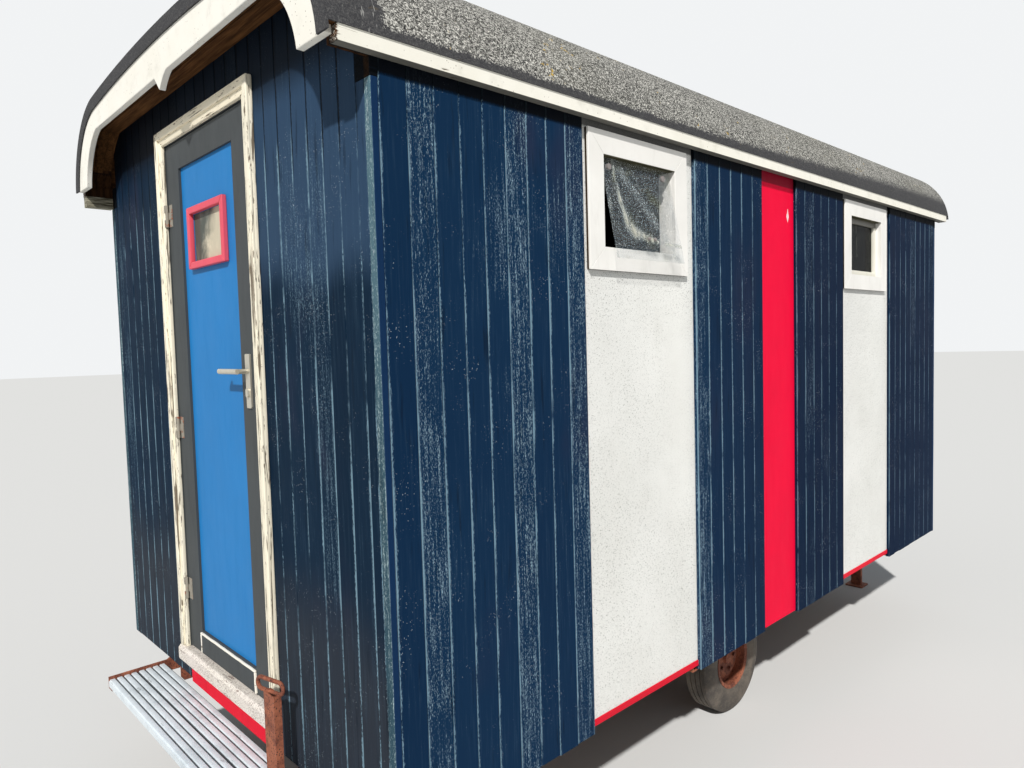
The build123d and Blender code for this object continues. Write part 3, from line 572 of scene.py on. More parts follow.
@dataclass(frozen=True)
class BareWood(Finish):
    """Bare timber with grain lines and grime, painted beside the roof's overhang if asked."""

    grain: Grain
    dark: str = "#3b2616"
    light: str = "#76502f"
    painted_from: Optional[float] = None
    painted_to: Pair = (1.074, 1.070)
    outer_face: Pair = (1.0945, 1.0965)

    def dress(self, g: PaintGraph) -> None:
        """Draw the grain, and the dark paint on the outer sides, deepened to near black as painted shade.
        """
        lines = g.noise(60.0, 5.0, 0.65, self.grain.stretch(0.05), bend=0.7)
        fine = g.noise(220.0, 3.0, 0.6, self.grain.stretch(0.04))
        g.base = g.blend((lines * 0.6 + fine * 0.4).ramp(0.35, 0.68), self.dark, self.light)
        g.coat(g.noise(2.6, 3.0).ramp(0.4, 0.7) * 0.4, self.dark)
        if self.painted_from:
            side = abs(g.axis(1))
            painted = side.ramp(self.painted_from, self.painted_from + 0.002) * side.ramp(*self.painted_to)
            # Painted shade: dark navy paint made near black where the eave shades these faces.
            paint = g.blend(fine.ramp(0.5, 0.7) * 0.5, "#06090d", "#16222e")
            g.coat(painted.high(side.ramp(*self.outer_face)), paint)
        g.set(specular=0.05, roughness=0.8)
        g.bump(lines + fine * 0.5, 0.5, 0.0015)


@dataclass(frozen=True)
class OldGlass(Finish):
    """Glass under dust and runs of dirt, with a painted pale reflection on it if asked."""

    shade: str = "#0c0f11"
    dust: str = "#62655a"
    solid: float = 0.80
    dusty: float = 0.45
    reflection_spot: Optional[Pair] = None

    def dress(self, g: PaintGraph) -> None:
        """Lay dirt, the painted reflection and specks over the glass."""
        runs = g.noise(24.0, 5.0, 0.65, (1.0, 1.0, 0.18), bend=1.2)
        film = g.noise(7.0, 5.0, 0.6, bend=0.8)
        specks = g.noise(260.0, 3.0, 0.7).ramp(0.68, 0.75)
        dirt = (runs * 0.5 + film * 0.5).ramp(0.47, 0.72)
        g.base = g.blend(dirt * self.dusty, self.shade, self.dust)
        if self.reflection_spot:
            # Painted reflection: a pale patch on the glass, brightest towards one side and downwards.
            lit = (self.reflection_spot[0] - g.axis(1)) * 7.0 - (g.axis(2) - self.reflection_spot[1]) * 3.0 + (film - 0.5) * 1.6
            g.coat(lit.ramp(-0.35, 0.35) * 0.9, "#d6ccb4")
        g.coat(specks * 0.6, "#c9c9bd")
        g.set(roughness=0.14 + dirt * 0.4, specular=0.03)
        g.set(alpha=(self.solid + dirt * 0.3 + specks * 0.3).clamp())
        g.bump(film, 0.3, 0.004)


@dataclass(frozen=True)
class CrumpledSheet(Finish):
    """Dirty clear plastic sheet: slanting folds with painted glints where they catch the light, a painted
    green-brown reflection in its haze, and pale specks.
    """

    shade: str = "#8799a6"
    # Colour of the painted glints.
    fold: str = "#d9d5c0"
    reflected_tint: str = "#6c7052"
    corner: Pair = (-1.19, 2.165)
    streak: Pair = (-1.096, 2.381)

    def dress(self, g: PaintGraph) -> None:
        """Paint glints along the folds, one curved crease and one straight streak, and fade the rest to
        haze.
        """
        slant = {"factors": (1.0, 1.0, 0.13), "turn": (0.0, math.radians(-24.0), 0.0), "bend": 0.5}
        folds = g.noise(11.0, 3.0, 0.5, **slant)
        thin = g.noise(42.0, 4.0, 0.5, **slant)
        haze = g.noise(10.0, 4.0, 0.6)
        specks = g.noise(280.0, 2.0, 0.7).ramp(0.615, 0.655)
        along, height = g.axis(0), g.axis(2)
        low = (height - 2.20) / 0.26
        bend = (along - self.corner[0]) * (height - self.corner[1])
        bend = bend + (folds - 0.5) * 0.006 + (thin - 0.5) * 0.004
        # Painted highlights: the crease, the streak and the glare are pale glints, made more opaque than
        # the sheet.
        crease = abs(bend - 0.004).ramp(0.0034, 0.0002) * thin.ramp(0.30, 0.52)
        beside = (along - self.streak[0]) * 0.741 + (height - self.streak[1]) * 0.670
        streak = abs(beside + (folds - 0.5) * 0.05).ramp(0.030, 0.004)
        glare = (folds + (thin - 0.5) * 0.35 - low * 0.07).ramp(0.58, 0.74) * 0.5
        glare = glare.high(crease).high(streak * 0.28)
        dotted = glare * (0.30 + thin.ramp(0.40, 0.60) * 0.45 + specks * 0.25)
        # Painted reflection: haze patches tinted green-brown.
        g.base = g.blend(haze.ramp(0.50, 0.70) * 0.8, self.shade, self.reflected_tint)
        g.coat(dotted * 0.95, self.fold)
        g.coat(specks * 0.9, "#fbfaf2")
        g.set(roughness=0.30 + haze * 0.3, specular=0.08)
        g.set(alpha=(0.07 + haze.ramp(0.50, 0.75) * 0.12 + dotted * 0.85 + specks * 0.65).clamp())
        g.bump(folds + thin * 0.4, 0.9, 0.010)


@dataclass(frozen=True)
class Metal(Finish):
    """Bare or plated metal with a fine rolling line."""

    grain: Grain
    shade: str
    grime: str
    rough: float
    metallic: float
    dirty: float

    def dress(self, g: PaintGraph) -> None:
        """Lay grime and scuffs over the metal."""
        lines = g.noise(260.0, 3.0, 0.6, self.grain.stretch(0.02))
        cloud = g.noise(11.0, 6.0, 0.7)
        scuffs = g.noise(46.0, 6.0, 0.75).ramp(0.60, 0.70)
        g.base = g.blend(cloud.ramp(0.48, 0.74) * self.dirty, self.shade, self.grime)
        g.coat(scuffs * self.dirty * 0.8, "#4e4a44")
        g.set(metallic=(self.metallic - cloud.ramp(0.5, 0.8) * self.dirty).clamp())
        g.set(roughness=(self.rough + lines * 0.12 + scuffs * 0.2).clamp())
        g.bump(lines + cloud, 0.15, 0.0008)


@dataclass(frozen=True)
class StepMetal(Finish):
    """Pale weathered metal of the step, with dirt and painted shade in the grooves between its ribs."""

    top: float
    outer: float
    shade: str = "#dbe3e8"
    dirt: str = "#23272a"

    def dress(self, g: PaintGraph) -> None:
        """Lay stains, scuffs and the grooves' dirt and painted shade over the metal."""
        cloud = g.noise(9.0, 6.0, 0.7)
        fine = g.noise(160.0, 4.0, 0.7, Grain.Y.stretch(0.3))
        scuffs = g.noise(34.0, 6.0, 0.75, Grain.Y.stretch(0.25)).ramp(0.60, 0.68)
        g.base = g.blend(cloud.ramp(0.42, 0.72) * 0.5, self.shade, "#aab4ba")
        g.coat(fine.ramp(0.58, 0.70) * 0.35, "#7f8487")
        g.coat(scuffs * 0.6, "#6d6e6b")
        # Painted shade: the grooves between the ribs go near black, over the dirt lying there.
        deep = (self.top - g.axis(2) + (fine - 0.5) * 0.0012).ramp(0.0038, 0.0047)
        g.coat(deep * g.axis(0).ramp(self.outer + 0.003, self.outer + 0.006) * 0.92, self.dirt)
        g.set(metallic=0.15, roughness=0.5 + scuffs * 0.2, specular=0.3)
        g.bump(fine + cloud, 0.15, 0.0008)


@dataclass(frozen=True)
class Rubber(Finish):
    """Old tyre rubber with dust."""

    def dress(self, g: PaintGraph) -> None:
        """Lay dust over the rubber."""
        cloud = g.noise(9.0, 5.0, 0.65)
        fine = g.noise(140.0, 4.0, 0.65)
        g.base = g.blend(cloud.ramp(0.3, 0.7), "#3a3633", "#6b6258")
        g.coat(fine.ramp(0.5, 0.75) * 0.4, "#857a6b")
        g.set(roughness=0.85)
        g.bump(fine + cloud, 0.4, 0.001)


STEP_LOW, STEP_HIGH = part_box("step_planks")


@dataclass(frozen=True)
class Finishes:
    """Every finish of the cabin."""

    side_boards: Finish = BoardPaint("side_board_paint")
    rear_boards: Finish = BoardPaint("rear_board_paint")
    # Door end: the upper band is a painted sheen of sunlight, and the dark top a painted shadow of the
    # bargeboard and eave.
    front_boards: Finish = BoardPaint(
        "front_board_paint", deep="#061c2f", light="#0e263b", fleck="#7d98a7", joint="#7c9bab",
        lines=0.75, breaks=0.38, wear=-0.06, upper=("#30465f", 2.00, 2.16), lower=("#2b3038", 1.25, 0.85),
        eave_shadow=(2.54, 2.68, 0.85), splits_in_shade=True)
    corner: Finish = BoardPaint(
        "corner_batten_paint", deep="#2a4350", light="#3a5662", fleck="#b3c6c8", joint="#93a9ae", wear=0.22,
        upper=("#54707b", 1.30, 2.30), eave_shadow=(2.60, 2.70, 0.0), outer="#122e50")
    white_along: Finish = OldPaint(
        "white_paint_along", Grain.X, shade="#f4f1e6", bare_before=-2.2535, shaded_underside_below=2.5585)
    white_across: Finish = OldPaint("white_paint_across", Grain.Y)
    cream_upright: Finish = OldPaint(
        "cream_paint_upright", Grain.Z, shade="#f1e9d3", under="#6a5236", cracks=0.72, flakes=0.18)
    cream_across: Finish = OldPaint(
        "cream_paint_across", Grain.Y, shade="#efe5cd", under="#6a5236", cracks=0.62, flakes=0.12)
    sill: Finish = OldPaint(
        "sill_paint", Grain.Y, shade="#e2dad2", under="#85716a", cracks=0.30, flakes=0.30, grit=0.75)
    bead: Finish = OldPaint(
        "bead_paint", Grain.Y, shade="#efe9dd", under="#6d5a4a", cracks=0.35, flakes=0.35)
    panel: Finish = SmoothPaint(
        "white_sheet_paint", "#ebebe7", "#a9a79c", 0.10, 0.5, mildew=1.0, shadow_above=2.536,
        shadow_colour="#0e0d0b")
    casing: Finish = SmoothPaint(
        "casing_paint", "#f3f1ec", "#98958a", 0.16, 0.4, scars=0.25, scar_shade="#7d776a")
    sash: Finish = SmoothPaint(
        "sash_paint", "#e8e5d8", "#8e8a7c", 0.2, 0.4, scars=0.25, scar_shade="#7d776a", shadow_above=2.424)
    red: Finish = SmoothPaint(
        "red_paint", "#ef0039", "#b00c2a", 0.04, 0.6, scars=0.08, scar_shade="#f6d6d8", shine=0.10,
        chip=(0.108, 2.385), shadow_above=2.512, shadow_colour="#6f0a22")
    red_edge: Finish = SmoothPaint(
        "red_trim_paint", "#de1430", "#5e2a26", 0.22, 0.6, scars=0.3, scar_shade="#d9c8bd", shine=0.12)
    door_grey: Finish = SmoothPaint(
        "door_grey_paint", "#434749", "#2b2b29", 0.20, 0.55, scars=0.32, scar_shade="#8b8a84", shine=0.15)
    door_blue: Finish = SmoothPaint(
        "door_blue_paint", "#1f78b9", "#1d5688", 0.12, 0.5, scars=0.05, shine=0.15)
    pink: Finish = SmoothPaint(
        "pink_paint", "#df5667", "#a04652", 0.16, 0.5, scars=0.2, scar_shade="#f0c4c4", shine=0.2)
    felt: Finish = Felt("roof_felt", eave=2.597, front=-2.279)
    wood_across: Finish = BareWood("soffit_wood", Grain.Y)
    wood_along: Finish = BareWood("roof_board_wood", Grain.X)
    # Plate and soffit frame wood is darkened, and its outer sides near black, as painted shade under the
    # eave.
    plate_wood: Finish = BareWood("plate_wood", Grain.X, "#140d08", "#3a281a", painted_from=1.020)
    old_edge: Finish = BareWood("unpainted_edge", Grain.Z, "#120e0a", "#453629")
    # Reveal lining darkened as painted shade.
    lining: Finish = BareWood("lining_painted_shade", Grain.X, "#26241a", "#77735a")
    soffit_frame: Finish = BareWood("soffit_frame_wood", Grain.Z, "#1b110a", "#543722", painted_from=1.070)
    inner_wood: Finish = BareWood("inner_wood", Grain.Z, "#4a3a28", "#7c6448")
    floor_wood: Finish = BareWood("floor_wood", Grain.X, "#463a2c", "#75644e")
    glass: Finish = OldGlass("window_glass")
    # The door glass's pale colours and pale patch are partly a painted reflection.
    peep_glass: Finish = OldGlass("door_glass", "#565b54", "#8d8f85", 0.88, 0.8, reflection_spot=(0.0, 2.27))
    sheet: Finish = CrumpledSheet("crumpled_sheet")
    rust: Finish = Rust("rusty_steel")
    yellow: Finish = Rust("yellow_rusty_steel", "#b98a2a", 0.5)
    hinge: Finish = Rust("hinge_steel", "#8f897d", 0.85)
    nickel: Finish = Metal("satin_nickel", Grain.Z, "#cfc9ba", "#8d8271", 0.36, 0.75, 0.2)
    knob: Finish = Metal("pane_knob_metal", Grain.Y, "#8a8380", "#2f2e2c", 0.5, 0.2, 0.6)
    step: Finish = StepMetal("step_metal", top=STEP_HIGH[2], outer=STEP_LOW[0])
    tyre: Finish = Rubber("tyre_rubber")


def bevel(part: bmesh.types.BMesh, width: float, above: float = 0.5, segments: int = 2,
          clamp: bool = False) -> None:
    """Round the edges that turn by more than an angle.

    Args:
        part: The mesh.
        width: Width of the rounding; 0 leaves the mesh as it is.
        above: The angle, in radians.
        segments: Segments of the rounding.
        clamp: Whether a rounding stops where it meets the next one.
    """
    if width > 0:
        sharp = [edge for edge in part.edges if edge.is_manifold and edge.calc_face_angle() > above]
        bmesh.ops.bevel(part, geom=sharp, offset=width, segments=segments, profile=0.5,
                        affect="EDGES", clamp_overlap=clamp, material=-1)


def wander(scale: float, reach: float) -> Move:
    """Make a move for a worn surface, from its waves a metre and their reach in metres."""
    return lambda co: co + noise.noise_vector(co * scale) * reach


def cut(part: bmesh.types.BMesh, point: Vector, normal: Vector, drop: bool = False) -> None:
    """Cut a mesh by a plane.

    Args:
        part: The mesh.
        point: A point on the plane.
        normal: Its direction.
        drop: Whether what lies beyond is dropped and the mesh closed again.
    """
    everything = part.verts[:] + part.edges[:] + part.faces[:]
    bmesh.ops.bisect_plane(part, geom=everything, plane_co=point, plane_no=normal, clear_outer=drop)
    if drop:
        bmesh.ops.holes_fill(part, edges=part.edges)


class Workpiece:
    """A mesh being built, in metres, in the row frame."""

    SMOOTH_BELOW = math.radians(20.0)

    def __init__(self) -> None:
        """Start with nothing."""
        self.bm = bmesh.new()

    def absorb(self, part: bmesh.types.BMesh, tone: float = 0.5,
               across: Optional[tuple[int, float, float]] = None) -> None:
        """Add a finished bit.

        Args:
            part: The bit; it is freed.
            tone: Stored on its vertices, for one bit's own shade.
            across: Axis, middle and half-width that give each vertex its place across the bit.
        """
        tones, places = (part.verts.layers.float.new(name) for name in ("tone", "across"))
        for vertex in part.verts:
            vertex[tones] = tone
            if across:
                vertex[places] = (vertex.co[across[0]] - across[1]) / across[2]
        mesh = bpy.data.meshes.new("bit")
        part.to_mesh(mesh)
        part.free()
        self.bm.from_mesh(mesh)
        bpy.data.meshes.remove(mesh)

    def block(self, low: Sequence[float], high: Sequence[float], round_by: float,
              cuts: Optional[tuple[int, int]] = None, slope: Optional[tuple[Vector, Vector]] = None,
              shape: Optional[Move] = None, **kept: Any) -> None:
        """Add a block with rounded edges.

        Args:
            low: Lowest corner.
            high: Highest corner.
            round_by: Width of the rounding.
            cuts: Axis to cut it along and the number of cuts, for bending.
            slope: Point and outward normal of a plane that trims it.
            shape: Moves each vertex.
            kept: Passed to absorb.
        """
        part = bmesh.new()
        size = Vector(high) - Vector(low)
        bmesh.ops.create_cube(part, size=1.0)
        bmesh.ops.scale(part, vec=size, verts=part.verts)
        bmesh.ops.translate(part, vec=(Vector(low) + Vector(high)) / 2, verts=part.verts)
        if slope:
            cut(part, slope[0], slope[1], drop=True)
        bevel(part, round_by)
        if cuts:
            axis, count = cuts
            normal = Vector([float(i == axis) for i in range(3)])
            for step in range(1, count + 1):
                cut(part, Vector(low) + size * step / (count + 1), normal)
        if shape:
            for vertex in part.verts:
                vertex.co = shape(vertex.co)
        self.absorb(part, **kept)

    def prism(self, outline: Sequence[Sequence[float]], depth: Sequence[float], round_by: float,
              segments: int = 2, **kept: Any) -> None:
        """Add a flat outline pushed out along a vector.

        Args:
            outline: Its corners.
            depth: The push.
            round_by: Width of the rounding.
            segments: Its segments.
            kept: Passed to absorb.
        """
        part = bmesh.new()
        face = part.faces.new([part.verts.new(corner) for corner in outline])
        pushed = bmesh.ops.extrude_face_region(part, geom=[face])
        moved = [item for item in pushed["geom"] if isinstance(item, bmesh.types.BMVert)]
        bmesh.ops.translate(part, vec=Vector(depth), verts=moved)
        bmesh.ops.recalc_face_normals(part, faces=part.faces)
        bevel(part, round_by, segments=segments)
        self.absorb(part, **kept)

    def knob(self, centre: Triple, radius: float, length: float, round_by: float, sides: int = 14) -> None:
        """Add a short round bar that points across the cabin.

        Args:
            centre: Its middle.
            radius: Its radius.
            length: Its length.
            round_by: Width of the rounding of its rims.
            sides: Flat sides round it.
        """
        part = bmesh.new()
        bmesh.ops.create_cone(part, cap_ends=True, segments=sides, radius1=radius, radius2=radius,
                              depth=length)
        bevel(part, round_by)
        turn = Matrix.Rotation(math.pi / 2, 3, "X")
        bmesh.ops.rotate(part, cent=(0, 0, 0), matrix=turn, verts=part.verts)
        bmesh.ops.translate(part, vec=Vector(centre), verts=part.verts)
        self.absorb(part)

    def finish(self, name: str, finish: Finish, body: str, slot: str, stands_for: str = "") -> None:
        """Turn the work into a piece that rides on a body.

        Args:
            name: The piece's name.
            finish: Its material.
            body: The CAD body that carries it.
            slot: Name of a material slot; not used.
            stands_for: The CAD node that it replaces, if it does.
        """
        mesh = bpy.data.meshes.new(name)
        self.bm.to_mesh(mesh)
        self.bm.free()
        mesh.materials.append(finish.make())
        mesh.shade_smooth()
        mesh.set_sharp_from_angle(angle=self.SMOOTH_BELOW)
        piece = bpy.data.objects.new(name, mesh)
        bpy.context.scene.collection.objects.link(piece)
        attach(piece, body)
        if stands_for:
            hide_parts(stands_for)
        LOG.info("%s: %d faces on %s", name, len(mesh.polygons), body)


@dataclass
class Cladding:
    """The upright boards of all four walls, the corner battens and the overhangs' planks."""

    finishes: Finishes
    pitch: float = 0.0895
    thick: float = 0.022
    slit: float = 0.0014
    edge_round: float = 0.0022
    bend_cuts: tuple[int, int] = (2, 7)
    lean: Pair = (-0.0007, 0.0002)
    bow: Pair = (-0.0006, 0.0)
    drift: float = 0.0004
    panel_width: float = 0.655
    batten_width: float = 0.032
    batten_wave: Pair = (6.0, 0.0007)
    plate_side: float = 1.028
    plate_foot: float = 2.51
    crown: float = 2.955
    crown_radius: float = 8.6672
    shoulder_radius: float = 0.372
    shoulder: Pair = (0.765, 2.54765)
    deck: float = 0.024
    ceiling: float = 2.818
    ceiling_drop: float = 0.045
    ceiling_half: float = 0.86
    soffit_foot: float = 1.086
    soffit_thick: float = 0.014
    soffit_steps: int = 22
    overhangs: tuple[Pair, Pair] = ((-2.2525, -2.1455), (2.1455, 2.2725))

    def _warp(self, rng: random.Random, out: Vector) -> Move:
        """Make one board's own small bow and lean.

        Args:
            rng: Source of the board's own numbers.
            out: The wall's outward direction.

        Returns:
            A function that moves a vertex.
        """
        lean, bow = rng.uniform(*self.lean), rng.uniform(*self.bow)
        seed = rng.uniform(0.0, 40.0)
        side = Vector((abs(out.y), abs(out.x), 0.0))

        def move(co: Vector) -> Vector:
            """Shift one vertex of the board."""
            drift = noise.noise(Vector((seed, 0.0, co.z * 1.7)))
            inward = lean + bow * abs(math.sin(co.z * 1.3 + seed)) - self.drift * abs(drift)
            return co + out * inward + side * drift * self.drift

        return move

    def _slope(self, low: Sequence[float], high: Sequence[float], axis: int, heights: Pair,
               out: Vector) -> tuple[Vector, Vector]:
        """The plane that trims a board's top.

        Args:
            low: The board's lowest corner.
            high: Its highest corner, above the cut.
            axis: The row axis along the wall.
            heights: Height of the cut at the board's two edges.
            out: The wall's outward direction.

        Returns:
            A point on the plane and its upward normal.
        """
        point, run = Vector((0.0, 0.0, heights[0])), Vector((0.0, 0.0, heights[1] - heights[0]))
        point[axis], run[axis] = low[axis], high[axis] - low[axis]
        normal = run.cross(out)
        return point, (normal if normal.z > 0 else -normal)

    def _run(self, work: Workpiece, start: float, end: float, axis: int, place: Pair, out: Vector,
             bottom: float, top: Callable[[float], float], rng: random.Random) -> None:
        """Fill one stretch of wall with boards.

        Args:
            work: Takes the boards.
            start: Where the stretch starts, along the wall.
            end: Where it ends.
            axis: The row axis along the wall.
            place: The boards' faces across the wall.
            out: The wall's outward direction.
            bottom: The boards' lower end.
            top: The upper end at a place along the wall.
            rng: Source of small differences.
        """
        count = max(1, round((end - start) / self.pitch))
        joints = [start + (end - start) * i / count for i in range(count + 1)]
        for index in range(1, count):
            joints[index] += rng.uniform(-0.0022, 0.0022)
        for left, right in zip(joints, joints[1:]):
            low, high = [0.0, 0.0, bottom + rng.uniform(0.0, 0.0035)], [0.0, 0.0, 0.0]
            low[axis], high[axis] = left + self.slit / 2, right - self.slit / 2
            low[1 - axis], high[1 - axis] = place
            heights = (top(low[axis]), top(high[axis]))
            high[2] = max(heights) + 0.001
            middle, half = (Vector(low) + Vector(high))[axis] / 2, (high[axis] - low[axis]) / 2
            slope = self._slope(low, high, axis, heights, out)
            work.block(low, high, self.edge_round, self.bend_cuts, slope, self._warp(rng, out),
                       tone=rng.random(), across=(axis, middle, half))

    def sides(self) -> None:
        """Clad both long walls."""
        panels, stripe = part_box("white_panels"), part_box("red_stripes")
        for name, hand, seed in (("right", -1.0, 11), ("left", 1.0, 23)):
            node = f"{name}_wall_boards"
            low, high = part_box(node)
            spans = ((low[0], panels[0][0]), (panels[0][0] + self.panel_width, stripe[0][0]),
                     (stripe[1][0], panels[1][0] - self.panel_width), (panels[1][0], high[0]))
            work, rng = Workpiece(), random.Random(seed)
            for start, end in spans:
                self._run(work, start, end, 0, (low[1], high[1]), Vector((0.0, hand, 0.0)), low[2],
                          lambda _x: high[2], rng)
            work.finish(node + "_single", self.finishes.side_boards, BODY, "blue_boards", node)

    def _arch(self, y: float) -> float:
        """Height of the roof boards' underside over a place across the cabin."""
        y = abs(y)
        centre = self.crown - self.crown_radius
        inner, small = self.crown_radius - self.deck, self.shoulder_radius - self.deck
        side, level = self.shoulder
        touch = math.atan2(level - centre, side)
        if y <= inner * math.cos(touch):
            return centre + math.sqrt(inner**2 - y**2)
        return level + math.sqrt(max(small**2 - (y - side) ** 2, 0.0))

    def _gable_top(self, y: float) -> float:
        """Upper end of an end wall's board, which stops under the wall plate or the roof boards."""
        return self.plate_foot if abs(y) > self.plate_side - 0.0005 else self._arch(y) - 0.001

    def ends(self) -> None:
        """Clad the rear end and the door end beside the door."""
        groups = (("front_boards_right", -1.0, self.finishes.front_boards),
                  ("front_boards_left", -1.0, self.finishes.front_boards),
                  ("rear_wall_boards", 1.0, self.finishes.rear_boards))
        for seed, (node, hand, finish) in enumerate(groups):
            low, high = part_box(node)
            work, rng, out = Workpiece(), random.Random(40 + seed), Vector((hand, 0.0, 0.0))
            corners = [y for y in (-self.plate_side, self.plate_side) if low[1] < y < high[1]]
            borders = sorted([low[1], high[1], *corners])
            for start, end in zip(borders, borders[1:]):
                if end - start > self.pitch / 2 + 0.025:
                    self._run(work, start, end, 1, (low[0], high[0]), out, low[2], self._gable_top, rng)
                    continue
                work.block((low[0], start + 0.0005, low[2]), (high[0], end - 0.0005, self.plate_foot),
                           0.002, self.bend_cuts, None, self._warp(rng, out), tone=rng.random(),
                           across=(1, (start + end) / 2, (end - start) / 2))
            work.finish(node + "_single", finish, BODY, "blue_boards", node)

    def doorway(self) -> None:
        """Clad the door end above the doorway, and below it."""
        node = "front_boards_door"
        low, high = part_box(node)
        work, rng = Workpiece(), random.Random(51)
        head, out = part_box("front_wall_head")[0][2], Vector((-1.0, 0.0, 0.0))
        self._run(work, low[1], high[1], 1, (low[0], high[0]), out, head, self._gable_top, rng)
        work.block(low, (high[0], high[1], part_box("door_sill")[0][2]), 0.002)
        work.finish(node + "_single", self.finishes.front_boards, BODY, "blue_boards", node)

    def corners(self) -> None:
        """Dress the corner battens."""
        work, rng = Workpiece(), random.Random(61)
        low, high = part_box("corner_battens")
        wide = self.batten_width
        for x0, x1 in ((low[0], low[0] + self.thick), (high[0] - self.thick, high[0])):
            for y0, y1 in ((low[1], low[1] + wide), (high[1] - wide, high[1])):
                work.block((x0, y0 + 0.0005, low[2]), (x1, y1 - 0.0005, high[2]), 0.003, (2, 9), None,
                           wander(*self.batten_wave), tone=rng.random(),
                           across=(1, (y0 + y1) / 2, (y1 - y0) / 2))
        work.finish("corner_battens_worn", self.finishes.corner, BODY, "blue_boards", "corner_battens")

    def _soffit_height(self, y: float) -> float:
        """Height of the overhang's lining: flat in the middle, then along the arch."""
        if abs(y) < self.ceiling_half:
            return self.ceiling
        return min(self.ceiling, self._arch(y) - self.ceiling_drop)

    def soffits(self) -> None:
        """Line the underside of both overhangs with three planks across the cabin."""
        work, rng = Workpiece(), random.Random(71)
        planks, steps = 3, self.soffit_steps
        places = [self.soffit_foot * math.sin(math.pi / 2 * i / steps) for i in range(-steps, steps + 1)]
        under = [(y, self._soffit_height(y)) for y in places]
        over = [(y, z + self.soffit_thick) for y, z in reversed(under)]
        for low, high in self.overhangs:
            wide = (high - low) / planks
            for index in range(planks):
                start, lift = low + wide * index + 0.001, rng.uniform(-0.002, 0.002)
                outline = [(start, y, z + lift) for y, z in under + over]
                work.prism(outline, (wide - 0.002, 0.0, 0.0), 0.0, tone=rng.random())
        work.finish("overhang_soffit_planks", self.finishes.wood_across, BODY, "raw_timber")

    def build(self) -> None:
        """Make all the cladding."""
        self.sides()
        self.ends()
        self.doorway()
        self.corners()
        self.soffits()


@dataclass
class PlainNodes:
    """CAD nodes whose shape is right: rounded edges where they show, and a finish."""

    finishes: Finishes
    wave_scale: float = 9.0

    def _soften(self, node: str, finish: Finish, body: str, slot: str, round_by: float,
                wave: float) -> None:
        """Copy a CAD node, round its edges and let it stand for the node.

        Args:
            node: The CAD node.
            finish: Its finish.
            body: The CAD body that carries it.
            slot: Name of a material slot, passed on.
            round_by: Width of the rounding.
            wave: How far its surface wanders, in metres.
        """
        work = Workpiece()
        work.bm.from_mesh(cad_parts[node].data)
        bmesh.ops.remove_doubles(work.bm, verts=work.bm.verts, dist=1e-5)
        flat = math.radians(1.0)
        bmesh.ops.dissolve_limit(work.bm, angle_limit=flat, verts=work.bm.verts, edges=work.bm.edges)
        bevel(work.bm, round_by, above=0.6, clamp=True)
        if wave > 0:
            for vertex in work.bm.verts:
                vertex.co = wander(self.wave_scale, wave)(vertex.co)
        work.finish(node + "_finished", finish, body, slot, node)

    def soften(self) -> None:
        """Round the edges of the painted timber and sheet parts."""
        f = self.finishes
        rows = (
            ("front_bargeboard", f.white_across, BODY, "white_paint", 0.0025, 0.0),
            ("rear_bargeboard", f.white_across, BODY, "white_paint", 0.0025, 0.0),
            ("white_panels", f.panel, BODY, "white_sheet", 0.001, 0.0),
            ("red_stripes", f.red, BODY, "red_paint", 0.001, 0.0),
            ("red_trims", f.red_edge, BODY, "red_paint", 0.0015, 0.0),
            ("door_red_band", f.red_edge, BODY, "red_paint", 0.002, 0.0),
            ("door_frame", f.door_grey, BODY, "white_paint", 0.0015, 0.0),
            ("door_sill", f.sill, BODY, "white_paint", 0.004, 0.0006),
            ("door_leaf_frame", f.door_grey, DOOR, "grey_paint", 0.002, 0.0),
            ("door_panel", f.door_blue, DOOR, "light_blue_paint", 0.0, 0.0),
            ("door_lock_plates", f.nickel, DOOR, "satin_nickel", 0.0012, 0.0),
            ("window_sashes", f.sash, BODY, "white_paint", 0.0025, 0.0),
            ("step_planks", f.step, BODY, "galvanised", 0.0008, 0.0),
            ("step_arms", f.rust, BODY, "rusty_steel", 0.0012, 0.0),
            ("door_lever", f.nickel, "lever", "satin_nickel", 0.002, 0.0),
        )
        for row in rows:
            self._soften(*row)

    def paint(self) -> None:
        """Give the other nodes their finish as they are."""
        f = self.finishes
        groups = (
            (f.felt, "roof_felt"), (f.wood_along, "roof_deck"), (f.wood_across, "roof_bows"),
            (f.soffit_frame, "overhang_soffits"), (f.plate_wood, "wall_plates"),
            (f.floor_wood, "floor_deck"), (f.inner_wood, "right_wall left_wall rear_wall"),
            (f.inner_wood, "front_wall_right front_wall_left front_wall_head"),
            (f.rust, "chassis_rails axle_beam leaf_springs right_wheel_rim left_wheel_rim drawbar_lugs"),
            (f.rust, "front_leg rear_legs front_leg_sleeve rear_legs_sleeve"),
            (f.yellow, "cross_members"), (f.tyre, "right_tyre left_tyre"), (f.peep_glass, "door_glass"),
            (f.glass, "window_glass"), (f.sheet, "tilted_pane"), (f.hinge, "hinge_leaves hinge_frames"),
            (f.white_along, "eave_fascias"), (f.cream_upright, "door_trim"), (f.casing, "window_trims"),
            (f.door_grey, "door_kick_board"), (f.pink, "door_window_frame"),
        )
        for finish, nodes in groups:
            for node in nodes.split():
                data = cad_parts[node].data
                data.materials.clear()
                data.materials.append(finish.make())

    def build(self) -> None:
        """Finish all of them."""
        self.paint()
        self.soften()


